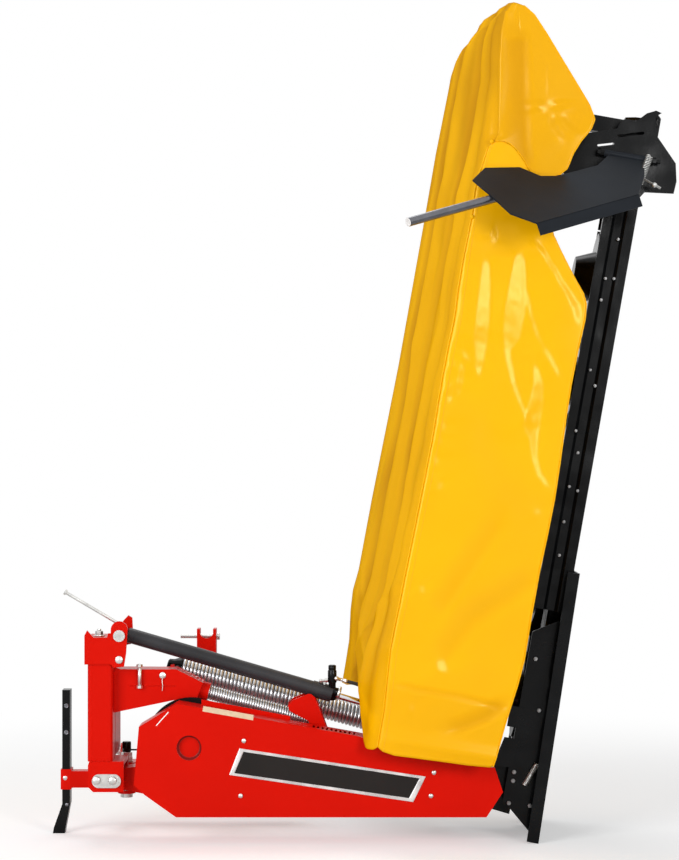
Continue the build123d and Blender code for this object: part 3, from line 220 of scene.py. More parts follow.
def material(name, colour, roughness, metallic=0.0, specular=0.5, tint=(1, 1, 1), vary=0.06, vary_scale=6.0,
             bump=0.0, bump_scale=300.0, rough_vary=0.06, wave=0.0, gloss=0.0, gloss_tint=(1, 1, 1),
             gloss_roughness=0.3, shade=None):
    """A surface whose colour and roughness drift a little, with a fine grain and, if asked, slow waves.

    gloss is the share of an even, tinted sheen laid over it, which a coated cloth shows at every angle, and
    shade the painted shade colour that it darkens to where the mesh's shade attribute is 1, in its folds.
    """
    made = bpy.data.materials.new(name)
    made.use_nodes = True
    nodes, links = made.node_tree.nodes, made.node_tree.links
    shader = nodes["Principled BSDF"]
    shader.inputs["Metallic"].default_value = metallic
    shader.inputs["Specular IOR Level"].default_value = specular
    shader.inputs["Specular Tint"].default_value = (*tint, 1)
    place = nodes.new("ShaderNodeTexCoord")
    drift = nodes.new("ShaderNodeTexNoise")
    drift.inputs["Scale"].default_value = vary_scale
    drift.inputs["Detail"].default_value = 5
    links.new(place.outputs["Object"], drift.inputs["Vector"])
    ramp = nodes.new("ShaderNodeValToRGB")
    for stop, position, change in zip(ramp.color_ramp.elements, DRIFT_ENDS, (-vary, vary)):
        stop.position = position
        stop.color = (*[min(1, part * (1 + change)) for part in colour], 1)
    links.new(drift.outputs["Fac"], ramp.inputs["Fac"])
    links.new(ramp.outputs["Color"], shader.inputs["Base Color"])
    # painted shade: the mesh's shade attribute mixes the colour towards the shade colour
    if shade:
        shade_share = nodes.new("ShaderNodeAttribute")
        shade_share.attribute_name = "shade"
        darker = nodes.new("ShaderNodeMix")
        darker.data_type = "RGBA"
        links.new(shade_share.outputs["Fac"], darker.inputs["Factor"])
        links.new(ramp.outputs["Color"], darker.inputs["A"])
        darker.inputs["B"].default_value = (*shade, 1)
        links.new(darker.outputs["Result"], shader.inputs["Base Color"])
    spread = nodes.new("ShaderNodeMapRange")
    spread.inputs["To Min"].default_value = max(SMOOTHEST, roughness - rough_vary)
    spread.inputs["To Max"].default_value = roughness + rough_vary
    links.new(drift.outputs["Fac"], spread.inputs["Value"])
    links.new(spread.outputs["Result"], shader.inputs["Roughness"])
    normal = None
    for strength, scale, distance in ((wave, WAVE_SCALE, WAVE_DEPTH), (bump, bump_scale, GRAIN_DEPTH)):
        if strength:
            peel = nodes.new("ShaderNodeTexNoise")
            peel.inputs["Scale"].default_value = scale
            links.new(place.outputs["Object"], peel.inputs["Vector"])
            raised = nodes.new("ShaderNodeBump")
            raised.inputs["Strength"].default_value = strength
            raised.inputs["Distance"].default_value = distance
            links.new(peel.outputs["Fac"], raised.inputs["Height"])
            if normal:
                links.new(normal, raised.inputs["Normal"])
            normal = raised.outputs["Normal"]
    if normal:
        links.new(normal, shader.inputs["Normal"])
    if gloss:
        sheen = nodes.new("ShaderNodeBsdfGlossy")
        sheen.inputs["Color"].default_value = (*gloss_tint, 1)
        sheen.inputs["Roughness"].default_value = gloss_roughness
        if normal:
            links.new(normal, sheen.inputs["Normal"])
        over = nodes.new("ShaderNodeMixShader")
        over.inputs["Fac"].default_value = gloss
        links.new(shader.outputs[0], over.inputs[1])
        links.new(sheen.outputs[0], over.inputs[2])
        links.new(over.outputs[0], nodes["Material Output"].inputs["Surface"])
    return made


RED = material("red_enamel", (0.66, 0.006, 0.0015), 0.3, specular=0.2, tint=(1, 0.3, 0.25), vary=0.05,
               vary_scale=2.5, bump=0.06, bump_scale=220, wave=0.05)
# painted shade: a darker red for the inside of the guard's recess, where shade falls
RECESS_PAINTED_SHADE = material("recess_painted_shade", (0.24, 0.003, 0.001), 0.4, specular=0.3, vary=0.1, bump=0.06,
                     bump_scale=220)
BARREL = material("barrel_enamel", (0.026, 0.026, 0.029), 0.3, specular=0.3, vary=0.35, vary_scale=5,
                  bump=0.08, bump_scale=160)
BOARD = material("board_enamel", (0.014, 0.017, 0.022), 0.36, specular=0.12, vary=0.2, vary_scale=5,
                 bump=0.08, bump_scale=140, wave=0.15)
BLACK = material("black_enamel", (0.0035, 0.0038, 0.0042), 0.2, specular=0.16, vary=0.25, vary_scale=9,
                 bump=0.12, bump_scale=110, wave=0.6)
ZINC = material("zinc_plate", (0.72, 0.72, 0.7), 0.3, metallic=0.9, vary=0.12, vary_scale=30, bump=0.1)
OLD_ZINC = material("dull_zinc", (0.32, 0.32, 0.32), 0.38, metallic=0.8, vary=0.3, vary_scale=40, bump=0.15)
SPRING = material("spring_wire", (0.62, 0.63, 0.65), 0.33, metallic=0.95, vary=0.12, vary_scale=20)
CHROME = material("hard_chrome", (0.75, 0.75, 0.77), 0.1, metallic=1.0, vary=0.03, rough_vary=0.03)
STICK = material("dark_steel", (0.17, 0.172, 0.19), 0.24, metallic=0.85, vary=0.2, vary_scale=14)
# the coated cloth: its shade colour is the painted shade that its folds and the flap darken to
CLOTH = material("coated_cloth", (1.0, 0.495, 0.0005), 0.4, specular=0.0, vary=0.03, vary_scale=3.0,
                 bump=0.05, bump_scale=900, gloss=0.032, gloss_tint=(1, 0.88, 0.4), gloss_roughness=0.25,
                 shade=(0.66, 0.29, 0.0003))
THREAD = material("cover_thread", (0.9, 0.47, 0.01), 0.6, vary=0.08, bump=0.2, bump_scale=700)
RUBBER = material("hose_rubber", (0.02, 0.02, 0.02), 0.5, vary=0.1, bump=0.2, bump_scale=500)
LABEL = material("beige_label", (0.72, 0.55, 0.36), 0.5, vary=0.1, vary_scale=40)
PLATE_FRAME = material("plate_frame", (0.8, 0.78, 0.78), 0.28, metallic=0.75, vary=0.25, vary_scale=14)
PLATE_PANEL = material("plate_panel", (0.009, 0.006, 0.005), 0.4, specular=0.25, vary=0.1)
# pale: the swath stick's bare end face, and also the painted highlight strip on the guard's bevelled edge
PALE_END_AND_HIGHLIGHT = material("pale_end_and_painted_highlight", (0.93, 0.9, 0.88), 0.35, vary=0.1)
# what the nodes of each slot wear, and the few nodes with a look of their own
SLOT_LOOKS = {
    "red_paint": RED,
    "black_paint": BLACK,
    "zinc_steel": ZINC,
    "spring_steel": SPRING,
    "bright_rod": CHROME,
    "yellow_cover": CLOTH,
}
NODE_SLOTS = {part["node"]: part["material_slot"] for part in record["subparts"]}
NODE_LOOKS = {"swath_stick": STICK, "lift_barrel": BARREL, "swath_board": BOARD}
for node, holder in frame["nodes"].items():
    holder.data.materials.clear()
    holder.data.materials.append(NODE_LOOKS.get(node, SLOT_LOOKS[NODE_SLOTS[node]]))


# ------------------------------------------------------------------ piece makers
def place_piece(name, data, look, body):
    """Link a new piece, dress it and make it ride on its body."""
    piece = bpy.data.objects.new(name, data)
    data.materials.append(look)
    bpy.context.scene.collection.objects.link(piece)
    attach(piece, body)
    return piece


def mesh_piece(name, shape, look, body):
    """Turn a finished bmesh into a piece."""
    bmesh.ops.recalc_face_normals(shape, faces=shape.faces)
    mesh = bpy.data.meshes.new(name)
    shape.to_mesh(mesh)
    shape.free()
    return place_piece(name, mesh, look, body)


def turn(shape, place, direction, profile, sides=20):
    """Add a turned solid: profile lists (radius, height) in millimetres, from its foot at place outwards.

    One with eight sides or fewer keeps them flat.
    """
    along = Vector(direction).normalized()
    matrix = along.to_track_quat("Z", "Y").to_matrix()
    rings = []
    for radius, height in profile:
        ring = []
        for i in range(sides):
            angle = 2 * math.pi * i / sides
            spot = matrix @ Vector((radius * math.cos(angle), radius * math.sin(angle), height))
            ring.append(shape.verts.new(place + spot / 1000))
        rings.append(ring)
    for low, high in zip(rings, rings[1:]):
        for i in range(sides):
            face = shape.faces.new((low[i - 1], low[i], high[i], high[i - 1]))
            face.smooth = sides > 8
    shape.faces.new(list(reversed(rings[0])))
    shape.faces.new(rings[-1])


def hex_bolt(shape, place, direction, size, washer=True, tail=0.0):
    """Add a hexagon head, size millimetres across its flats, on a washer, with its thread's end if asked."""
    radius = size / math.sqrt(3)
    foot = 0.0
    if washer:
        foot = size * 0.14
        turn(shape, place, direction, [(size * 0.95, 0), (size * 0.95, size * 0.1), (size * 0.9, foot)])
    head = foot + size * 0.62
    edge = head - size * 0.08
    turn(shape, place, direction, [(radius, foot), (radius, edge), (radius * 0.86, head)], sides=6)
    if tail:
        thread = size * 0.3
        end = head + tail
        turn(shape, place, direction, [(thread, head), (thread, end), (size * 0.24, end + 1.5)], sides=12)


def dome_bolt(shape, place, direction, radius, high=0.55):
    """Add a round head whose height is its radius times high."""
    top = radius * high
    turn(shape, place, direction, [(radius, 0), (radius, radius * 0.2), (radius * 0.85, top * 0.7),
                                   (radius * 0.5, top), (radius * 0.1, top * 1.05)])


def wire_curve(name, radius, resolution=2, caps=True):
    """A curve with nothing on it yet, drawn as a round wire of a radius in metres."""
    curve = bpy.data.curves.new(name, "CURVE")
    curve.dimensions = "3D"
    curve.bevel_depth = radius
    curve.bevel_resolution = resolution
    curve.use_fill_caps = caps
    return curve


def add_spline(curve, spots, kind="POLY"):
    """Add an open spline through the spots, or led by them where it is a NURBS."""
    spline = curve.splines.new(kind)
    spline.points.add(len(spots) - 1)
    for point, spot in zip(spline.points, spots):
        point.co = (*spot, 1)
    return spline


def ripple(spline, middle, swing, pace):
    """Let a spline's width swing about middle from point to point."""
    for i, point in enumerate(spline.points):
        point.radius = middle + swing * math.sin(i * pace)


def rod(name, points, radius, look, body):
    """A smoothly bent round rod or pipe, led by three points or more."""
    curve = wire_curve(name, radius / 1000, resolution=4)
    spline = add_spline(curve, points, "NURBS")
    spline.order_u = 3
    spline.use_endpoint_u = True
    return place_piece(name, curve, look, body)


# points in each turn of a coil
COIL_STEPS = 20


def coil(name, start, end, radius_at, wire, pitch, look, body):
    """A wire wound round the line from start to end, in metres; radius_at gives its radius along the way."""
    line = end - start
    length = line.length
    matrix = line.to_track_quat("Z", "Y")
    count = int(length / pitch * COIL_STEPS)
    spots = []
    for i in range(count + 1):
        share = i / count
        angle = 2 * math.pi * i / COIL_STEPS
        radius = radius_at(share) - wire / 2
        spot = Vector((radius * math.cos(angle), radius * math.sin(angle), share * length))
        spots.append(start + matrix @ spot)
    curve = wire_curve(name, wire / 2)
    add_spline(curve, spots)
    return place_piece(name, curve, look, body)


# ------------------------------------------------------------------ balance springs
SLOPE = math.radians(15.3)


def spring_radius(outer, length, head, nose):
    """Radius of a spring that starts over head at half width and narrows again over its nose."""
    def radius_at(share):
        spot = share * length
        return outer * (0.5 + 0.5 * min(1, spot / head, (length - spot) / nose))
    return radius_at


def balance_spring(name, node, y, outer, wire, pitch, head, nose):
    """Wind a balance spring inside the space of its plain solid.

    Its place y and outer radius are in millimetres, its wire, pitch, head and nose in metres.
    """
    low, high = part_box(node)
    radius = outer / 1000
    half_cap = radius / 2 * math.sin(SLOPE)
    start = Vector((low.x + half_cap, at(0, y, 0).y, 0))
    end = Vector((high.x - half_cap, start.y, 0))
    middle = (low.z + high.z) / 2
    rise = (end.x - start.x) * math.tan(SLOPE) / 2
    start.z, end.z = middle + rise, middle - rise
    along = (end - start).normalized()
    start, end = start + along * wire / 2, end - along * wire / 2
    radius_at = spring_radius(radius, (end - start).length, head, nose)
    piece = coil(name, start, end, radius_at, wire, pitch, SPRING, "frame")
    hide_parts(node)
    return start, along


# the black plug in the far spring's end: how far it stands out, in metres, and its profile
PLUG_BACK = 0.046
PLUG = [(15, 0), (23, 4), (27, 22), (36, 38), (38, 48), (38, 66), (30, 70)]
balance_spring("near_coil", "near_spring", -330, 29, 0.0092, 0.0098, 0.012, 0.040)
far_start, far_along = balance_spring("far_coil", "far_spring", -205, 45, 0.0138, 0.0147, 0.016, 0.040)
shape = bmesh.new()
turn(shape, far_start - far_along * PLUG_BACK, far_along, PLUG, sides=28)
mesh_piece("far_spring_plug", shape, BLACK, "frame")

# ------------------------------------------------------------------ name plate, label and guard fasteners
# the guard's rear face, and how far off it the plates' backs lie
GUARD_Y = -530
FOOT = 0.3
ON_GUARD = GUARD_Y - FOOT


def in_plane(where, y, places):
    """Points of one plane at y, from their other two coordinates in at or bar."""
    return [where(first, y, second) for first, second in places]


def banded(shape, loops):
    """Add walls between loops of points, each as long as the next."""
    made = [[shape.verts.new(point) for point in loop] for loop in loops]
    for low, high in zip(made, made[1:]):
        for i in range(len(low)):
            shape.faces.new((low[i - 1], low[i], high[i], high[i - 1]))
    return made


def shrunk(corners, share):
    """Corners moved towards their middle by a share."""
    middle = sum(corners, Vector()) / len(corners)
    return [corner.lerp(middle, share) for corner in corners]


def plaque(name, corners, thick, look, body="frame"):
    """A thin plate with softened edges, lying on the surface behind it."""
    shape = bmesh.new()
    lift = REAR * thick / 1000
    sides = [corner + lift * 0.7 for corner in corners]
    face = [corner + lift for corner in shrunk(corners, 0.012)]
    loops = banded(shape, [corners, sides, face])
    shape.faces.new(loops[-1])
    shape.faces.new(list(reversed(loops[0])))
    return mesh_piece(name, shape, look, body)


PLATE_OUTER = in_plane(at, ON_GUARD, ((113, 263), (805, 161), (852, 257), (152, 363)))
PLATE_INNER = in_plane(at, ON_GUARD, ((133, 270), (790, 176), (829, 250), (167, 350)))
LABEL_CORNERS = in_plane(at, ON_GUARD, ((13, 502), (203, 468), (205, 488), (16, 522)))
# a painted highlight: a thin pale strip along the guard's upper-left bevel, where it catches the light
HIGHLIGHT_CORNERS = in_plane(at, ON_GUARD, ((-163, 449), (-160, 447), (-114, 498), (-117, 500)))
# how high the plate's frame stands, in metres: at the end of its side, on top and at its inner edge
RIM_SIDE, RIM_TOP, RIM_INNER = 0.0024, 0.0032, 0.001
shape = bmesh.new()
banded(shape, [
    PLATE_OUTER,
    [corner + REAR * RIM_SIDE for corner in PLATE_OUTER],
    [corner + REAR * RIM_TOP for corner in shrunk(PLATE_OUTER, 0.012)],
    [corner + REAR * RIM_TOP for corner in shrunk(PLATE_INNER, -0.01)],
    [corner + REAR * RIM_INNER for corner in PLATE_INNER],
])
mesh_piece("plate_frame", shape, PLATE_FRAME, "frame")
plaque("plate_panel", PLATE_INNER, 1.4, PLATE_PANEL)
plaque("guard_label", LABEL_CORNERS, 0.8, LABEL)
# the painted highlight on the guard's bevelled edge
plaque("guard_edge_highlight", HIGHLIGHT_CORNERS, 1.0, PALE_END_AND_HIGHLIGHT)

shape = bmesh.new()
for spot in in_plane(at, ON_GUARD, ((168, 391), (156, 184), (883, 272), (872, 184))):
    dome_bolt(shape, spot, REAR, 9)
mesh_piece("guard_bolts", shape, ZINC, "frame")

# ------------------------------------------------------------------ column, arm and stand fittings
# the faces that the fittings sit on
KEEPER_Y, PIN_FACE_Y, COLUMN_Y, ARM_PIN_Y, SOCKET_Y, STAND_Y = -457, -452.6, -440.3, -385.3, -281, -280.4
# the top of the column's cap, and how thick the washer under its nut is
CAP_X, CAP_Y, CAP_TOP, WASHER = -391, -380, 772.5, 4
# an upright spindle beside the arm, with a nut at each end
SPINDLE_X, SPINDLE_Y = -235, -398
shape = bmesh.new()
for x, z in ((-394, 230), (-333, 229)):
    dome_bolt(shape, at(x, KEEPER_Y, z), REAR, 15, 0.35)
dome_bolt(shape, at(-308, PIN_FACE_Y, 688), REAR, 15, 0.4)
dome_bolt(shape, at(-386, COLUMN_Y, 722), REAR, 5)
turn(shape, at(CAP_X, CAP_Y, CAP_TOP), UP, [(22, 0), (22, WASHER - 1), (20, WASHER)], sides=24)
hex_bolt(shape, at(CAP_X, CAP_Y, CAP_TOP + WASHER), UP, 26, washer=False, tail=6)
dome_bolt(shape, at(-148, ARM_PIN_Y, 622), REAR, 13, 0.4)
turn(shape, at(SPINDLE_X, SPINDLE_Y, 575), UP, [(7.5, 0), (7.5, 92)], sides=16)
for z in (574, 655):
    turn(shape, at(SPINDLE_X, SPINDLE_Y, z), UP, [(11, 0), (12, 1.5), (12, 9), (11, 10.5)], sides=6)
dome_bolt(shape, at(-532, SOCKET_Y, 215), REAR, 11, 0.5)
mesh_piece("frame_bolts", shape, ZINC, "frame")

# the round recess over the belt's pulley: a thin-walled cup with a nearly flat floor, set into the guard
RECESS_X, RECESS_Z, RECESS_R, RECESS_DEPTH = -38, 364, 46.7, 25.5
RECESS = [(RECESS_R, 0), (RECESS_R, 24.4), (RECESS_R - 0.6, 24.8), (RECESS_R - 2, 4), (RECESS_R - 12, 1.6),
          (1, 1.2)]
# painted shade: the cup wears a darker red than the guard, standing in for the shade inside the recess
shape = bmesh.new()
turn(shape, at(RECESS_X, GUARD_Y + RECESS_DEPTH, RECESS_Z), REAR, RECESS, sides=48)
mesh_piece("guard_recess_painted_shade", shape, RECESS_PAINTED_SHADE, "frame")

LIP_Y = -412
LIP_CORNERS = in_plane(at, LIP_Y, ((2, 500), (340, 440), (340, 470), (2, 534)))
plaque("guard_lip", LIP_CORNERS, 1.2, RED)
PIN_CLIP = [at(-148, -393, 612), at(-150, -394, 598), at(-146, -394, 584), at(-149, -393, 564)]
rod("arm_pin_clip", PIN_CLIP, 1.8, ZINC, "frame")

# the nut, the washer and the sleeve with its cross pin, one above the other on the break-back pin
SWING_X, SWING_Y = -308, -130
shape = bmesh.new()
turn(shape, at(SWING_X, SWING_Y, 262), UP, [(22, 0), (23, 2), (23, 15), (21, 17)], sides=6)
turn(shape, at(SWING_X, SWING_Y, 279.5), UP, [(17, 0), (17, 3)], sides=24)
mesh_piece("swing_nut", shape, ZINC, "headstock")
shape = bmesh.new()
turn(shape, at(SWING_X, SWING_Y, 296), UP, [(16, 0), (17.5, 2), (17.5, 38), (15, 41)])
turn(shape, at(-300, -137, 305), Vector((1, 0, 0)), [(3.4, 0), (3.4, 36), (2.6, 37)], sides=10)
mesh_piece("swing_pin_sleeve", shape, BLACK, "headstock")

shape = bmesh.new()
for spot in in_plane(at, STAND_Y, ((-528, 494), (-528, 391))):
    turn(shape, spot, REAR, [(9, 0), (9, 0.8), (7, 1.2), (6.2, 0.6)], sides=24)
dome_bolt(shape, at(-526, SOCKET_Y, 112), REAR, 7, 0.5)
mesh_piece("stand_fittings", shape, STICK, "stand")

# how far apart the points of a weld bead lie, in metres
BEAD_STEP = 0.0045


def weld(name, points, radius, look, body):
    """A weld bead whose width ripples along its line."""
    spots = []
    for a, b in zip(points, points[1:]):
        steps = max(2, int((b - a).length / BEAD_STEP))
        spots += [a.lerp(b, i / steps) for i in range(steps)]
    spots.append(points[-1])
    curve = wire_curve(name, radius / 1000)
    ripple(add_spline(curve, spots), middle=0.8, swing=0.35, pace=1.9)
    return place_piece(name, curve, look, body)


weld("arm_weld", [at(-275, -386, 583), at(-98, -386, 583)], 2.6, RED, "frame")
weld("column_weld", [at(-420, -441, 303), at(-344, -441, 303)], 3.5, RED, "frame")

# ------------------------------------------------------------------ lift cylinder's valve and pipe
CYLINDER_Y = -330
VALVE_Y = CYLINDER_Y - 8
PORT_Y = VALVE_Y - 6
DOWN_BARREL = Vector((1, 0, -0.27))
# turned profiles of the lock valve's body and of its three ports
VALVE_BODY = [(12, 0), (14, 2), (14, 66), (17, 70), (17, 112), (14, 118), (15, 120), (15, 133), (11, 136)]
INNER_PORT = [(9, 0), (9, 10), (6, 11), (6, 22), (8, 23), (8, 32), (5, 34)]
LOW_PORT = [(7, 0), (7, 26), (9, 27), (9, 34), (5, 36)]
PIPE_PORT = [(9, -8), (9, 6), (6.5, 7), (6.5, 34), (7.5, 35), (7.5, 44)]
shape = bmesh.new()
turn(shape, at(500, VALVE_Y, 522), UP, VALVE_BODY, sides=24)
turn(shape, at(505, VALVE_Y, 556), DOWN_BARREL, [(15, -28), (17, -26), (17, 26), (15, 28)], sides=24)
mesh_piece("lock_valve", shape, BLACK, "barrel")
shape = bmesh.new()
turn(shape, at(483, PORT_Y, 600), Vector((-1, 0, -0.1)), INNER_PORT, sides=6)
turn(shape, at(470, VALVE_Y, 560), UP, LOW_PORT, sides=6)
turn(shape, at(516, PORT_Y, 606), DOWN_BARREL, PIPE_PORT, sides=12)
turn(shape, at(520, CYLINDER_Y, 549.5), DOWN_BARREL, [(24, 0), (26, 2), (26, 10), (22, 12)], sides=28)
mesh_piece("valve_fittings", shape, ZINC, "barrel")
VALVE_PIPE = [at(555, PORT_Y, 595), at(575, PORT_Y, 590), at(603, VALVE_Y - 4, 582), at(622, VALVE_Y, 568),
              at(634, VALVE_Y + 2, 560)]
rod("valve_pipe", VALVE_PIPE, 7, RUBBER, "barrel")

# ------------------------------------------------------------------ cutterbar fasteners
# the faces of the inner shoe, the rear rail and the swath board's bracket, and the bolts in them as (u, v)
SHOE_Y, RAIL_Y, BRACKET_Y = -448.3, -440.5, -479
SHOE_BOLTS = [(83, -209), (50, -211), (-36, -210), (-32, -290), (330, -262), (520, -215)]
RAIL_BOLTS = [(1993, -258), (1988, -226), (1905, -224), (1636, -230), (1580, -258), (1399, -216),
              (1318, -238), (1186, -228), (1176, -262), (1051, -231), (923, -236), (2143, -248),
              (2270, -236)]
BRACKET_BOLTS = [(2331, 11), (2359, -103)]
shape = bmesh.new()
for spot in in_plane(bar, SHOE_Y, SHOE_BOLTS):
    hex_bolt(shape, spot, REAR, 15, washer=False, tail=4)
for spot in in_plane(bar, RAIL_Y, RAIL_BOLTS):
    hex_bolt(shape, spot, REAR, 11, washer=False, tail=3)
for spot in in_plane(bar, BRACKET_Y, BRACKET_BOLTS):
    hex_bolt(shape, spot, REAR, 22, tail=5)
hex_bolt(shape, bar(2566, -400, -160), REAR, 16, tail=4)
mesh_piece("bar_bolts", shape, OLD_ZINC, "bar")

# how thick the two small shields on the inner shoe are
SHIELD = 2.5
LOW_SHIELD = in_plane(bar, SHOE_Y, ((92, -124), (98, -200), (208, -206), (208, -150)))
HIGH_SHIELD = in_plane(bar, SHOE_Y, ((250, -152), (250, -204), (330, -204), (330, -152)))
plaque("inner_shield_low", LOW_SHIELD, SHIELD, BLACK, "bar")
plaque("inner_shield_high", HIGH_SHIELD, SHIELD, BLACK, "bar")

# the two small springs, as (name, start, end, radius, wire and pitch in metres)
SMALL_SPRINGS = [
    ("shoe_spring", bar(42, -462, -255), bar(130, -462, -288), 0.011, 0.003, 0.0042),
    ("board_spring", bar(2462, -547, -300), bar(2352, -547, -280), 0.0145, 0.0034, 0.0062),
]
for name, start, end, radius, wire, pitch in SMALL_SPRINGS:
    coil(name, start, end, lambda share: radius, wire, pitch, ZINC, "bar")

# the swath stick's two ends, the profile of the bright disc on its free end, and the board's stop bolt
STICK_END, STICK_ROOT = at(773.1, -995.7, 2301.2), at(1341.7, -656.7, 2485.7)
STICK_FACE = [(16, 0.2), (16.2, 1), (15, 1.8), (9, 2.0), (8, 1.2)]
STOP_BOLT = [(4.5, -30), (4.5, 70), (9, 71), (9, 84), (4.5, 85), (4.5, 104)]
shape = bmesh.new()
turn(shape, STICK_END, STICK_END - STICK_ROOT, STICK_FACE, sides=32)
mesh_piece("stick_end", shape, PALE_END_AND_HIGHLIGHT, "board")
shape = bmesh.new()
turn(shape, bar(2382, -556, -262), -RISE - OUT * 0.35, STOP_BOLT, sides=12)
mesh_piece("board_stop_bolt", shape, ZINC, "bar")

# ------------------------------------------------------------------ cover: its edges
# the seam and the front edge along the bar, between which the top panel lies, and where the slit begins that
# parts the flap from the curtain
SEAM_Y, FRONT_Y = -650, 500
DEPTH = FRONT_Y - SEAM_Y
SLIT = 2402
# lines of (u, v) points, seen from behind
SEAM = [(112, 325), (250, 325), (330, 331), (476, 341), (609, 338), (741, 335), (892, 331), (1025, 328),
        (1157, 325), (1270, 323), (1496, 326), (1628, 324), (1723, 320), (1835, 325), (1929, 326),
        (2023, 324), (2118, 321), (2211, 327), (2269, 321), (2376, 307), (2402, 288), (2430, 279),
        (2555, 299), (2701, 324), (2812, 336), (2880, 334), (2921, 309)]
HEM = [(112, -110), (182, -119), (258, -126), (316, -134), (413, -147), (508, -155), (677, -153),
       (846, -154), (979, -159), (1112, -162), (1243, -159), (1411, -152), (1542, -149), (1674, -152),
       (1788, -158), (1843, -153), (1878, -136), (1961, -71), (2027, -22), (2078, 14), (2250, 70),
       (2440, 130)]
FLAP_HEM = [(2405, 250), (2404, 236), (2389, 208), (2359, 175), (2315, 138), (2298, 98), (2302, 61),
            (2315, 33), (2346, 5), (2405, -7), (2457, -28), (2507, -57), (2545, -64), (2594, -35),
            (2676, 36), (2757, 107), (2823, 164), (2887, 224), (2914, 268)]
FRONT = [(190, 474), (281, 474), (387, 476), (512, 492), (596, 497), (683, 488), (981, 485), (1281, 478),
         (1558, 472), (2155, 471), (2452, 472), (2730, 466), (2836, 466), (2880, 458), (2925, 440)]
# the curtain's inner end, as (v, u)
INNER_END = [(-130, 124), (-96, 110), (-22, 104), (90, 100), (202, 95), (258, 92), (304, 99), (325, 112)]
# the top panel's inner end, as (millimetres forward of the seam, u), cut out round the arm
INNER_EDGE = [(0, 112), (20, 96), (50, 92), (90, 116), (130, 170), (170, 222), (265, 262), (700, 255),
              (1000, 215), (1150, 205)]
# the top panel's outer end, as (place from the front edge, 0, to the seam, 1, and u)
OUTER_END = [(0.0, 2850), (0.06, 2900), (0.15, 2934), (0.3, 2956), (0.45, 2954), (0.6, 2945), (0.75, 2936),
             (0.9, 2928), (1.0, 2921)]
# how high the inner end of the top panel bellies up, as (millimetres forward of the seam, height)
BELLY = [(0, 0), (50, 34), (100, 44), (160, 60), (260, 50), (420, 22), (640, 0), (1150, 0)]


def follow(line, place):
    """Value of a broken line at place."""
    for (u0, v0), (u1, v1) in zip(line, line[1:]):
        if place <= u1:
            return v0 + (v1 - v0) * max(0.0, (place - u0) / (u1 - u0))
    return line[-1][1]


def smooth(t):
    """An even step: 0 up to 0, 1 from 1 on, and a soft rise between them."""
    t = max(0.0, min(1.0, t))
    return t * t * (3 - 2 * t)


def rise(place, start, over):
    """A soft step up: 0 until start, and 1 from over further on."""
    return smooth((place - start) / over)


def fade(place, end, over):
    """A soft step down: 1 until over before the end, and 0 from the end on."""
    return smooth((end - place) / over)


def rumple(x, y, pattern):
    """Smooth noise of about -1 to 1; each pattern number gives another one."""
    return noise.noise(Vector((x, y, pattern)))


def along_line(line, share):
    """The point at a share of a broken line's length."""
    points = [Vector(point) for point in line]
    runs = [(b - a).length for a, b in zip(points, points[1:])]
    left = share * sum(runs)
    for a, b, run in zip(points, points[1:], runs):
        if left <= run:
            return a.lerp(b, left / run)
        left -= run
    return points[-1]


def nearest(point, line):
    """The signed distance to a broken line, the way along it to the nearest spot, its width there and length.

    The lines run from the cover's outer end inwards, and their lit side, towards the bar, is positive.
    """
    x, y = point
    best, total = (1e9, 0.0, 0.0), 0.0
    for (ax, ay, wide_a), (bx, by, wide_b) in zip(line, line[1:]):
        dx, dy = bx - ax, by - ay
        run = math.hypot(dx, dy)
        t = max(0.0, min(1.0, ((x - ax) * dx + (y - ay) * dy) / (run * run)))
        gap = math.hypot(x - ax - t * dx, y - ay - t * dy)
        if gap < abs(best[0]):
            side = -1.0 if (x - ax) * dy - (y - ay) * dx > 0 else 1.0
            best = (side * gap, total + t * run, wide_a + (wide_b - wide_a) * t)
        total += run
    return *best, total


# a facet's tilt, and over how many millimetres the cloth settles back beside it
LIT_SLOPE = 0.25
SETTLE = 110


def facet(point, line):
    """A fold's lit side: the cloth tilts evenly over its width, and settles back gently on both sides."""
    gap, gone, width, total = nearest(point, line)
    half = width / 2
    if abs(gap) > half + SETTLE:
        return 0.0
    ends = smooth((gone + 6) / 40) * smooth((total - gone + 6) / 50)
    lift = LIT_SLOPE * min(abs(gap), half) * (1 - max(0.0, abs(gap) - half) / SETTLE)
    dimple = 0.9 * rumple(point[0] / 26, point[1] / 22, 6.6) * max(0.0, 1 - abs(gap) / (half + 8))
    return (dimple - math.copysign(lift, gap)) * ends


def valley(point, line, lit, back, height):
    """A ridge, or with a negative height a valley, lit and back millimetres wide on its two sides."""
    gap, gone, width, total = nearest(point, line)
    share = 1 - abs(gap) / (lit if gap > 0 else back)
    if share <= 0:
        return 0.0
    return height * smooth(share) * smooth((gone + 30) / 60) * smooth((total - gone + 30) / 90)


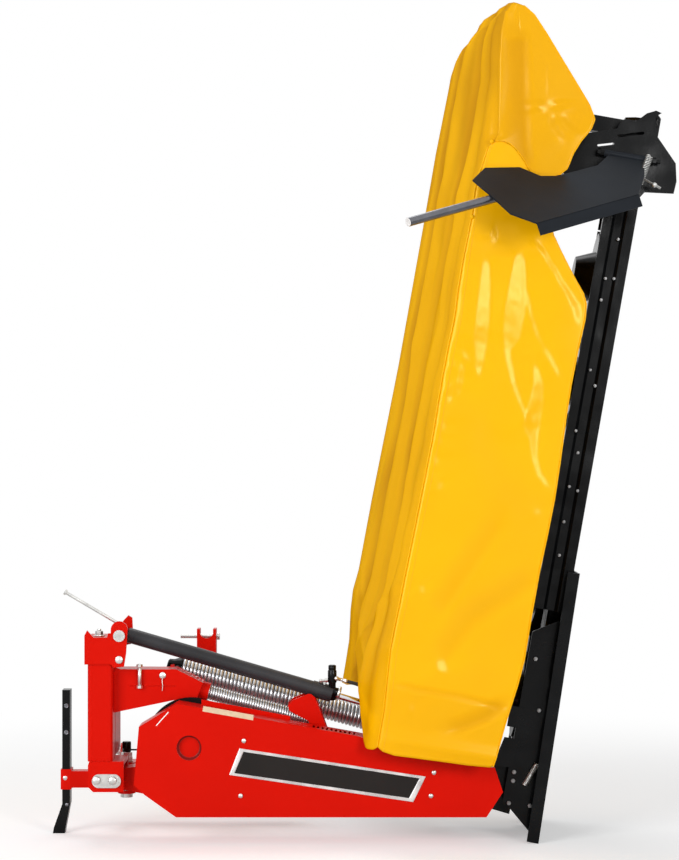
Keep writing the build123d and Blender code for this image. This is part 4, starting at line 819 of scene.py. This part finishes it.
# ------------------------------------------------------------------ cover: its folds
# the curtain's bright facets, as lines of (u, v, width) points from their outer end
FACETS = [
    [(1977, 244, 19), (1889, 232, 45), (1778, 220, 56), (1667, 208, 56), (1585, 201, 37), (1516, 191, 15)],
    [(2021, 124, 30), (1928, 115, 59), (1798, 107, 82), (1704, 102, 74), (1647, 107, 30), (1576, 83, 19),
     (1506, 52, 16), (1438, 10, 16), (1385, -26, 22)],
    [(1621, 1, 15), (1543, -28, 37), (1476, -32, 52), (1378, -31, 59), (1335, -46, 30), (1281, -59, 19),
     (1211, -90, 16), (1164, -144, 14)],
    [(2073, 80, 19), (1995, 10, 22), (1914, -61, 20), (1849, -117, 30), (1778, -145, 22)],
    [(1878, 76, 14), (1773, 35, 16), (1701, -8, 16), (1652, -50, 14), (1572, -109, 14)],
    [(1615, 289, 22), (1595, 256, 26), (1565, 213, 22)],
    [(1589, 266, 20), (1515, 260, 24), (1435, 262, 20)],
    [(2106, 237, 15), (2048, 226, 30), (2017, 229, 15)],
    [(1125, 280, 30), (1085, 244, 34)],
    [(1092, -92, 26), (1058, -122, 28)],
    [(735, 286, 30), (697, 236, 34)],
    [(480, 170, 40), (412, 110, 44)],
    [(300, 245, 30), (258, 200, 32)],
]
# the curtain's creases, as valley takes them: a line of (u, v, 0) points, its two widths, and its height
CREASES = [
    ([(356, 290, 0), (350, 200, 0), (352, 60, 0), (338, -110, 0)], 16, 22, -6),
    ([(352, -120, 0), (290, -60, 0), (235, 30, 0), (215, 90, 0)], 26, 60, -9),
    ([(830, -140, 0), (640, 60, 0), (470, 150, 0)], 50, 90, -6),
    ([(1010, 20, 0), (800, 120, 0), (640, 190, 0)], 40, 80, -5),
]
# short bright puckers beside the seam, as (u, v, width, length)
PUCKERS = [(2021, 306, 22, 40), (1835, 304, 24, 50), (1648, 300, 28, 40), (1562, 298, 30, 70),
           (1447, 292, 28, 90), (1329, 298, 26, 60), (1272, 300, 26, 50), (1200, 298, 26, 60),
           (1153, 290, 22, 30)]
for u, v, width, length in PUCKERS:
    FACETS.append([(u + length / 2, v + 4, width), (u - length / 2, v - 4, width)])
# the flap's facets and its long valley, in the same two forms
FLAP_FACETS = [
    [(2590, 124, 70), (2560, 118, 66), (2530, 108, 30)],
    [(2544, 106, 26), (2501, 90, 26), (2475, 67, 22), (2435, 20, 20)],
    [(2545, 70, 26), (2511, 35, 28), (2490, -7, 22), (2478, -42, 20)],
]
FLAP_VALLEY = ([(2800, 262, 0), (2700, 240, 0), (2560, 214, 0), (2400, 180, 0), (2320, 150, 0)], 44, 110, -7)
# the top panel's long folds: their place from the front edge, 0, to the seam, 1, at the inner end and at the
# outer end, their width in the same measure, and their height
TOP_FOLDS = [
    (0.34, 0.24, 0.10, -26),
    (0.48, 0.42, 0.11, 20),
    (0.66, 0.66, 0.075, -22),
    (0.80, 0.80, 0.07, 15),
    (0.90, 0.91, 0.035, -8),
    (0.14, 0.11, 0.08, 14),
]
# the curtain's unevenness: its height, how much higher it is in the outer part, its reach along u and v and
# its noise pattern; and the top panel's: its height, its reach along u, its waves across, and its pattern
CURTAIN_ROUGH = [(1.2, 2.2, 260, 150, 3.1), (0.2, 0.7, 85, 60, 8.7)]
TOP_ROUGH = [(8, 380, 3.6, 1.7), (4.5, 120, 9, 5.2)]


def upright_fold(u, fall):
    """The soft fold that stands upright beside the curtain's inner end; its core grows below the seam."""
    narrow = 9 * math.exp(-((u - 150) / 26) ** 2) * smooth(fall / 0.2)
    wide = 10 * fade(u, 210, 160) * (1 - fade(u, 190, 90))
    return narrow + wide


def curtain_out(u, v, fall):
    """How far the curtain stands out to the rear; fall runs from 0 at the seam to 1 at the hem."""
    out = sum(facet((u, v), line) for line in FACETS)
    outer_part = rise(u, 1050, 350)
    for height, more, reach_u, reach_v, pattern in CURTAIN_ROUGH:
        out += (height + more * outer_part) * rumple(u / reach_u, v / reach_v, pattern)
    beside_seam = math.exp(-fall / 0.045) * rise(u, 950, 150)
    out += 8 * beside_seam * rumple(u / 34, 0.4, 2.2)
    out += sum(valley((u, v), *crease) for crease in CREASES)
    out += upright_fold(u, fall)
    low_bow = 5 * math.sin(math.pi * min(1, fall)) * fade(u, 1500, 600)
    return out + low_bow


def curtain_shade(u, v):
    """How far the curtain darkens, 0 to 1: painted shade in its creases, and darker towards its inner end."""
    tone_and_painted_shade = 0.16 * fade(u, 370, 50) + 0.05 * (1 + rumple(u / 240, v / 160, 5.0))
    return min(1.0, tone_and_painted_shade - 0.035 * sum(valley((u, v), *crease) for crease in CREASES))


def flap_out(u, v, fall):
    """How far the flap stands out to the rear, clear of the curtain behind its hem."""
    out = valley((u, v), *FLAP_VALLEY) + sum(facet((u, v), line) for line in FLAP_FACETS)
    out += 1.5 * rumple(u / 210, v / 140, 6.4)
    return out + 8 * smooth(fall / 0.35)


def flap_shade(u, v):
    """How far painted shade darkens the flap's cloth, 0 to 1: more than the curtain, and most in its valley."""
    return 0.46 - 0.055 * valley((u, v), *FLAP_VALLEY)


def belly(u, forward):
    """How far the inner end of the top panel bellies up beside the seam."""
    return follow(BELLY, forward) * (1 - rise(u, 250, 420))


def fold_place(u, inner, outer):
    """Where across the top panel one of its long folds lies, which wanders a little on its way."""
    return inner + (outer - inner) * rise(u, 200, 2500) + 0.02 * math.sin(u / 330 + inner * 9)


def crossing(u, place):
    """How far a spot is from the two folds that cross at the top panel's inner end, and what they count."""
    way = (u - 330) / 420
    return abs(way - (place - 0.35) * 1.5), abs(way + (place - 0.75) * 1.5), 1 - rise(u, 650, 300)


def top_shade(u, place):
    """How far the top panel darkens, 0 to 1: painted light and shade in its folds, darker towards its outer end.
    """
    tone_and_painted_shade = 0.2 + 0.36 * rumple(u / 300, place * 5, 9.0) + 0.42 * rise(u, 1900, 600)
    # painted shade in the folds' valleys, painted light on their ridges
    for inner, outer, width, height in TOP_FOLDS:
        near = 1 - abs(place - fold_place(u, inner, outer) - 0.02) / (width * 1.2)
        tone_and_painted_shade -= 0.036 * height * smooth(near) * (0.8 + 0.6 * rumple(u / 260, inner * 7, 2.0))
    # painted light and shade on the two folds that cross at the inner end
    rising, falling, count = crossing(u, place)
    tone_and_painted_shade += 0.5 * count * (smooth(1 - (rising + 0.12) / 0.2) - smooth(1 - falling / 0.12))
    return min(1.0, max(0.0, tone_and_painted_shade))


def top_up(u, place):
    """How far the top panel stands up from the plane between its edges, which hold it down."""
    held = smooth(place / 0.3) * fade(place, 1, 0.05) * rise(u, 160, 260)
    out = 0.0
    for inner, outer, width, height in TOP_FOLDS:
        gap = abs(place - fold_place(u, inner, outer)) / width
        out += height * max(0.0, 1 - gap) ** 1.4 * (0.75 + 0.5 * rumple(u / 300, inner * 7, 4.0))
    for height, reach, across, pattern in TOP_ROUGH:
        out += height * rumple(u / reach, place * across, pattern)
    rising, falling, count = crossing(u, place)
    out += 14 * count * (math.exp(-rising / 0.12) + math.exp(-falling / 0.12))
    return (out + 16) * held


# ------------------------------------------------------------------ cover: its cloth
# the seam's two ends, and the height of the rails that hold the cloth up where the seam dips
CORNER, TIP = 112, 2921
RAIL_TOP = 314
# columns up to the slit and beyond it, rows across the top panel and down the curtain or the flap
BELOW_SLIT, BEYOND_SLIT, TOP_STEPS, FALL_STEPS = 245, 95, 56, 58
# rows lie closer towards the seam than towards the front edge
CROWDING = 1.25
# how far the curtain and the flap hang out behind the seam, and how far the curtain reaches under the flap
CURTAIN_OFF, FLAP_OFF, OVERLAP = 4, 5, 26
CLOTH_THICK = 0.0018
shape = bmesh.new()
# how far painted shade and random tone darken the cloth at each point
shade_layer = shape.verts.layers.float.new("shade")


def cloth_point(u, y, v, tone_and_painted_shade):
    """Add a point of the cover, with how far random tone and painted shade darken its cloth there."""
    point = shape.verts.new(bar(u, y, v))
    point[shade_layer] = tone_and_painted_shade
    return point


def top_column(seam_u):
    """The points across the top panel, from its front edge to the seam."""
    share = (seam_u - CORNER) / (TIP - CORNER)
    column = []
    for j in range(TOP_STEPS + 1):
        place = 1 - (1 - j / TOP_STEPS) ** CROWDING
        forward = DEPTH * (1 - place)
        low, end = follow(INNER_EDGE, forward), follow(OUTER_END, place)
        u = low + (end - low) * share
        v = follow(FRONT, u) * (1 - place) + follow(SEAM, u) * place
        # its folds grow flatter towards the outer end
        v += top_up(u, place) * (0.25 + 0.75 * fade(u, end, 160)) + belly(u, forward)
        # the rails hold it up where the seam dips
        v += max(0, RAIL_TOP - follow(SEAM, u)) * place * smooth(forward / 34)
        # its outer end droops, most at the front corner
        v -= 12 * (1 - fade(u, end, 70)) * (1 - smooth(place / 0.9))
        # its painted shade fades out where it bends into the curtain, as bright as the curtain there
        bright = rise(place, 0.97, 0.03) * fade(u, SLIT, 40)
        column.append(cloth_point(u, SEAM_Y + forward, v, top_shade(u, place) * (1 - bright)))
    return column


def curtain_column(seam_u, above):
    """The points down the curtain, from the seam's point above to the hem."""
    share = (seam_u - CORNER) / (SLIT - CORNER)
    top_v, hem_v = follow(SEAM, seam_u), follow(HEM, seam_u)
    column = [above]
    for j in range(1, FALL_STEPS + 1):
        fall = j / FALL_STEPS
        v = top_v + (hem_v - top_v) * fall
        low, end = follow(INNER_END, v), SLIT + OVERLAP * smooth(fall / 0.3)
        u = low + (end - low) * share
        out = CURTAIN_OFF + curtain_out(u, v, fall) * smooth(fall / 0.06)
        column.append(cloth_point(u, SEAM_Y - out, v, curtain_shade(u, v)))
    return column


def flap_column(seam_u, above):
    """The points down the flap, from the seam's point above to its curved hem."""
    seam_spot = Vector((seam_u, follow(SEAM, seam_u)))
    hem_spot = along_line(FLAP_HEM, (seam_u - SLIT) / (TIP - SLIT))
    column = [above]
    for j in range(1, FALL_STEPS + 1):
        fall = j / FALL_STEPS
        u, v = seam_spot.lerp(hem_spot, fall)
        out = FLAP_OFF + flap_out(u, v, fall) * smooth(fall / 0.12)
        column.append(cloth_point(u, SEAM_Y - out, v, flap_shade(u, v)))
    return column


def edge(columns, row, shift):
    """The cover's line through one row of its columns, moved by shift."""
    return [column[row].co + shift for column in columns]


seam_us = [CORNER + (SLIT - CORNER) * i / BELOW_SLIT for i in range(BELOW_SLIT + 1)]
seam_us += [SLIT + (TIP - SLIT) * i / BEYOND_SLIT for i in range(1, BEYOND_SLIT + 1)]
top = [top_column(seam_u) for seam_u in seam_us]
seam_points = [(seam_u, column[-1]) for seam_u, column in zip(seam_us, top)]
curtain = [curtain_column(*seam_point) for seam_point in seam_points[:BELOW_SLIT + 1]]
flap = [flap_column(*seam_point) for seam_point in seam_points[BELOW_SLIT:]]
for columns in (top, curtain, flap):
    for low, high in zip(columns, columns[1:]):
        for a, b, c, d in zip(low, low[1:], high[1:], high):
            shape.faces.new((a, b, c, d)).smooth = True
seam_line = edge(top, -1, (REAR + RISE) * 0.0022)
hem_line = edge(curtain, -1, REAR * 0.001)
flap_line = edge(flap, -1, REAR * 0.001)
stitch_line = edge(curtain, 3, REAR * 0.0006)
bmesh.ops.remove_doubles(shape, verts=shape.verts, dist=1e-5)
cloth = mesh_piece("cover_cloth", shape, CLOTH, "bar")
thick = cloth.modifiers.new("thickness", "SOLIDIFY")
thick.thickness = CLOTH_THICK
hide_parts("cover_top", "cover_curtain", "cover_end")


def ribbon(name, points, radius, swing):
    """A welt or hem of cloth along the cover's own points, whose width swings a little."""
    curve = wire_curve(name, radius / 1000, caps=False)
    ripple(add_spline(curve, points), middle=1, swing=swing, pace=2.3)
    return place_piece(name, curve, CLOTH, "bar")


def stitches(name, points, run, gap, radius):
    """A row of stitches along the points, each run metres long with a gap behind it."""
    curve = wire_curve(name, radius, resolution=1)
    for a, b in zip(points, points[1:]):
        count = max(1, int((b - a).length / (run + gap)))
        for i in range(count):
            add_spline(curve, [a.lerp(b, i / count), a.lerp(b, (i + run / (run + gap)) / count)])
    return place_piece(name, curve, THREAD, "bar")


welt = ribbon("cover_welt", seam_line[:BELOW_SLIT - 2], 2.4, 0.35)
curtain_hem = ribbon("cover_hem", hem_line, 2.0, 0.1)
flap_hem = ribbon("cover_flap_hem", flap_line, 2.0, 0.1)
seam_stitches = stitches("cover_stitches", stitch_line, run=0.006, gap=0.004, radius=0.0009)
shape = bmesh.new()
for spot in in_plane(bar, SEAM_Y - CURTAIN_OFF, ((2398, 298), (2111, 322))):
    dome_bolt(shape, spot, REAR, 8, 0.9)
studs = mesh_piece("cover_studs", shape, CLOTH, "bar")
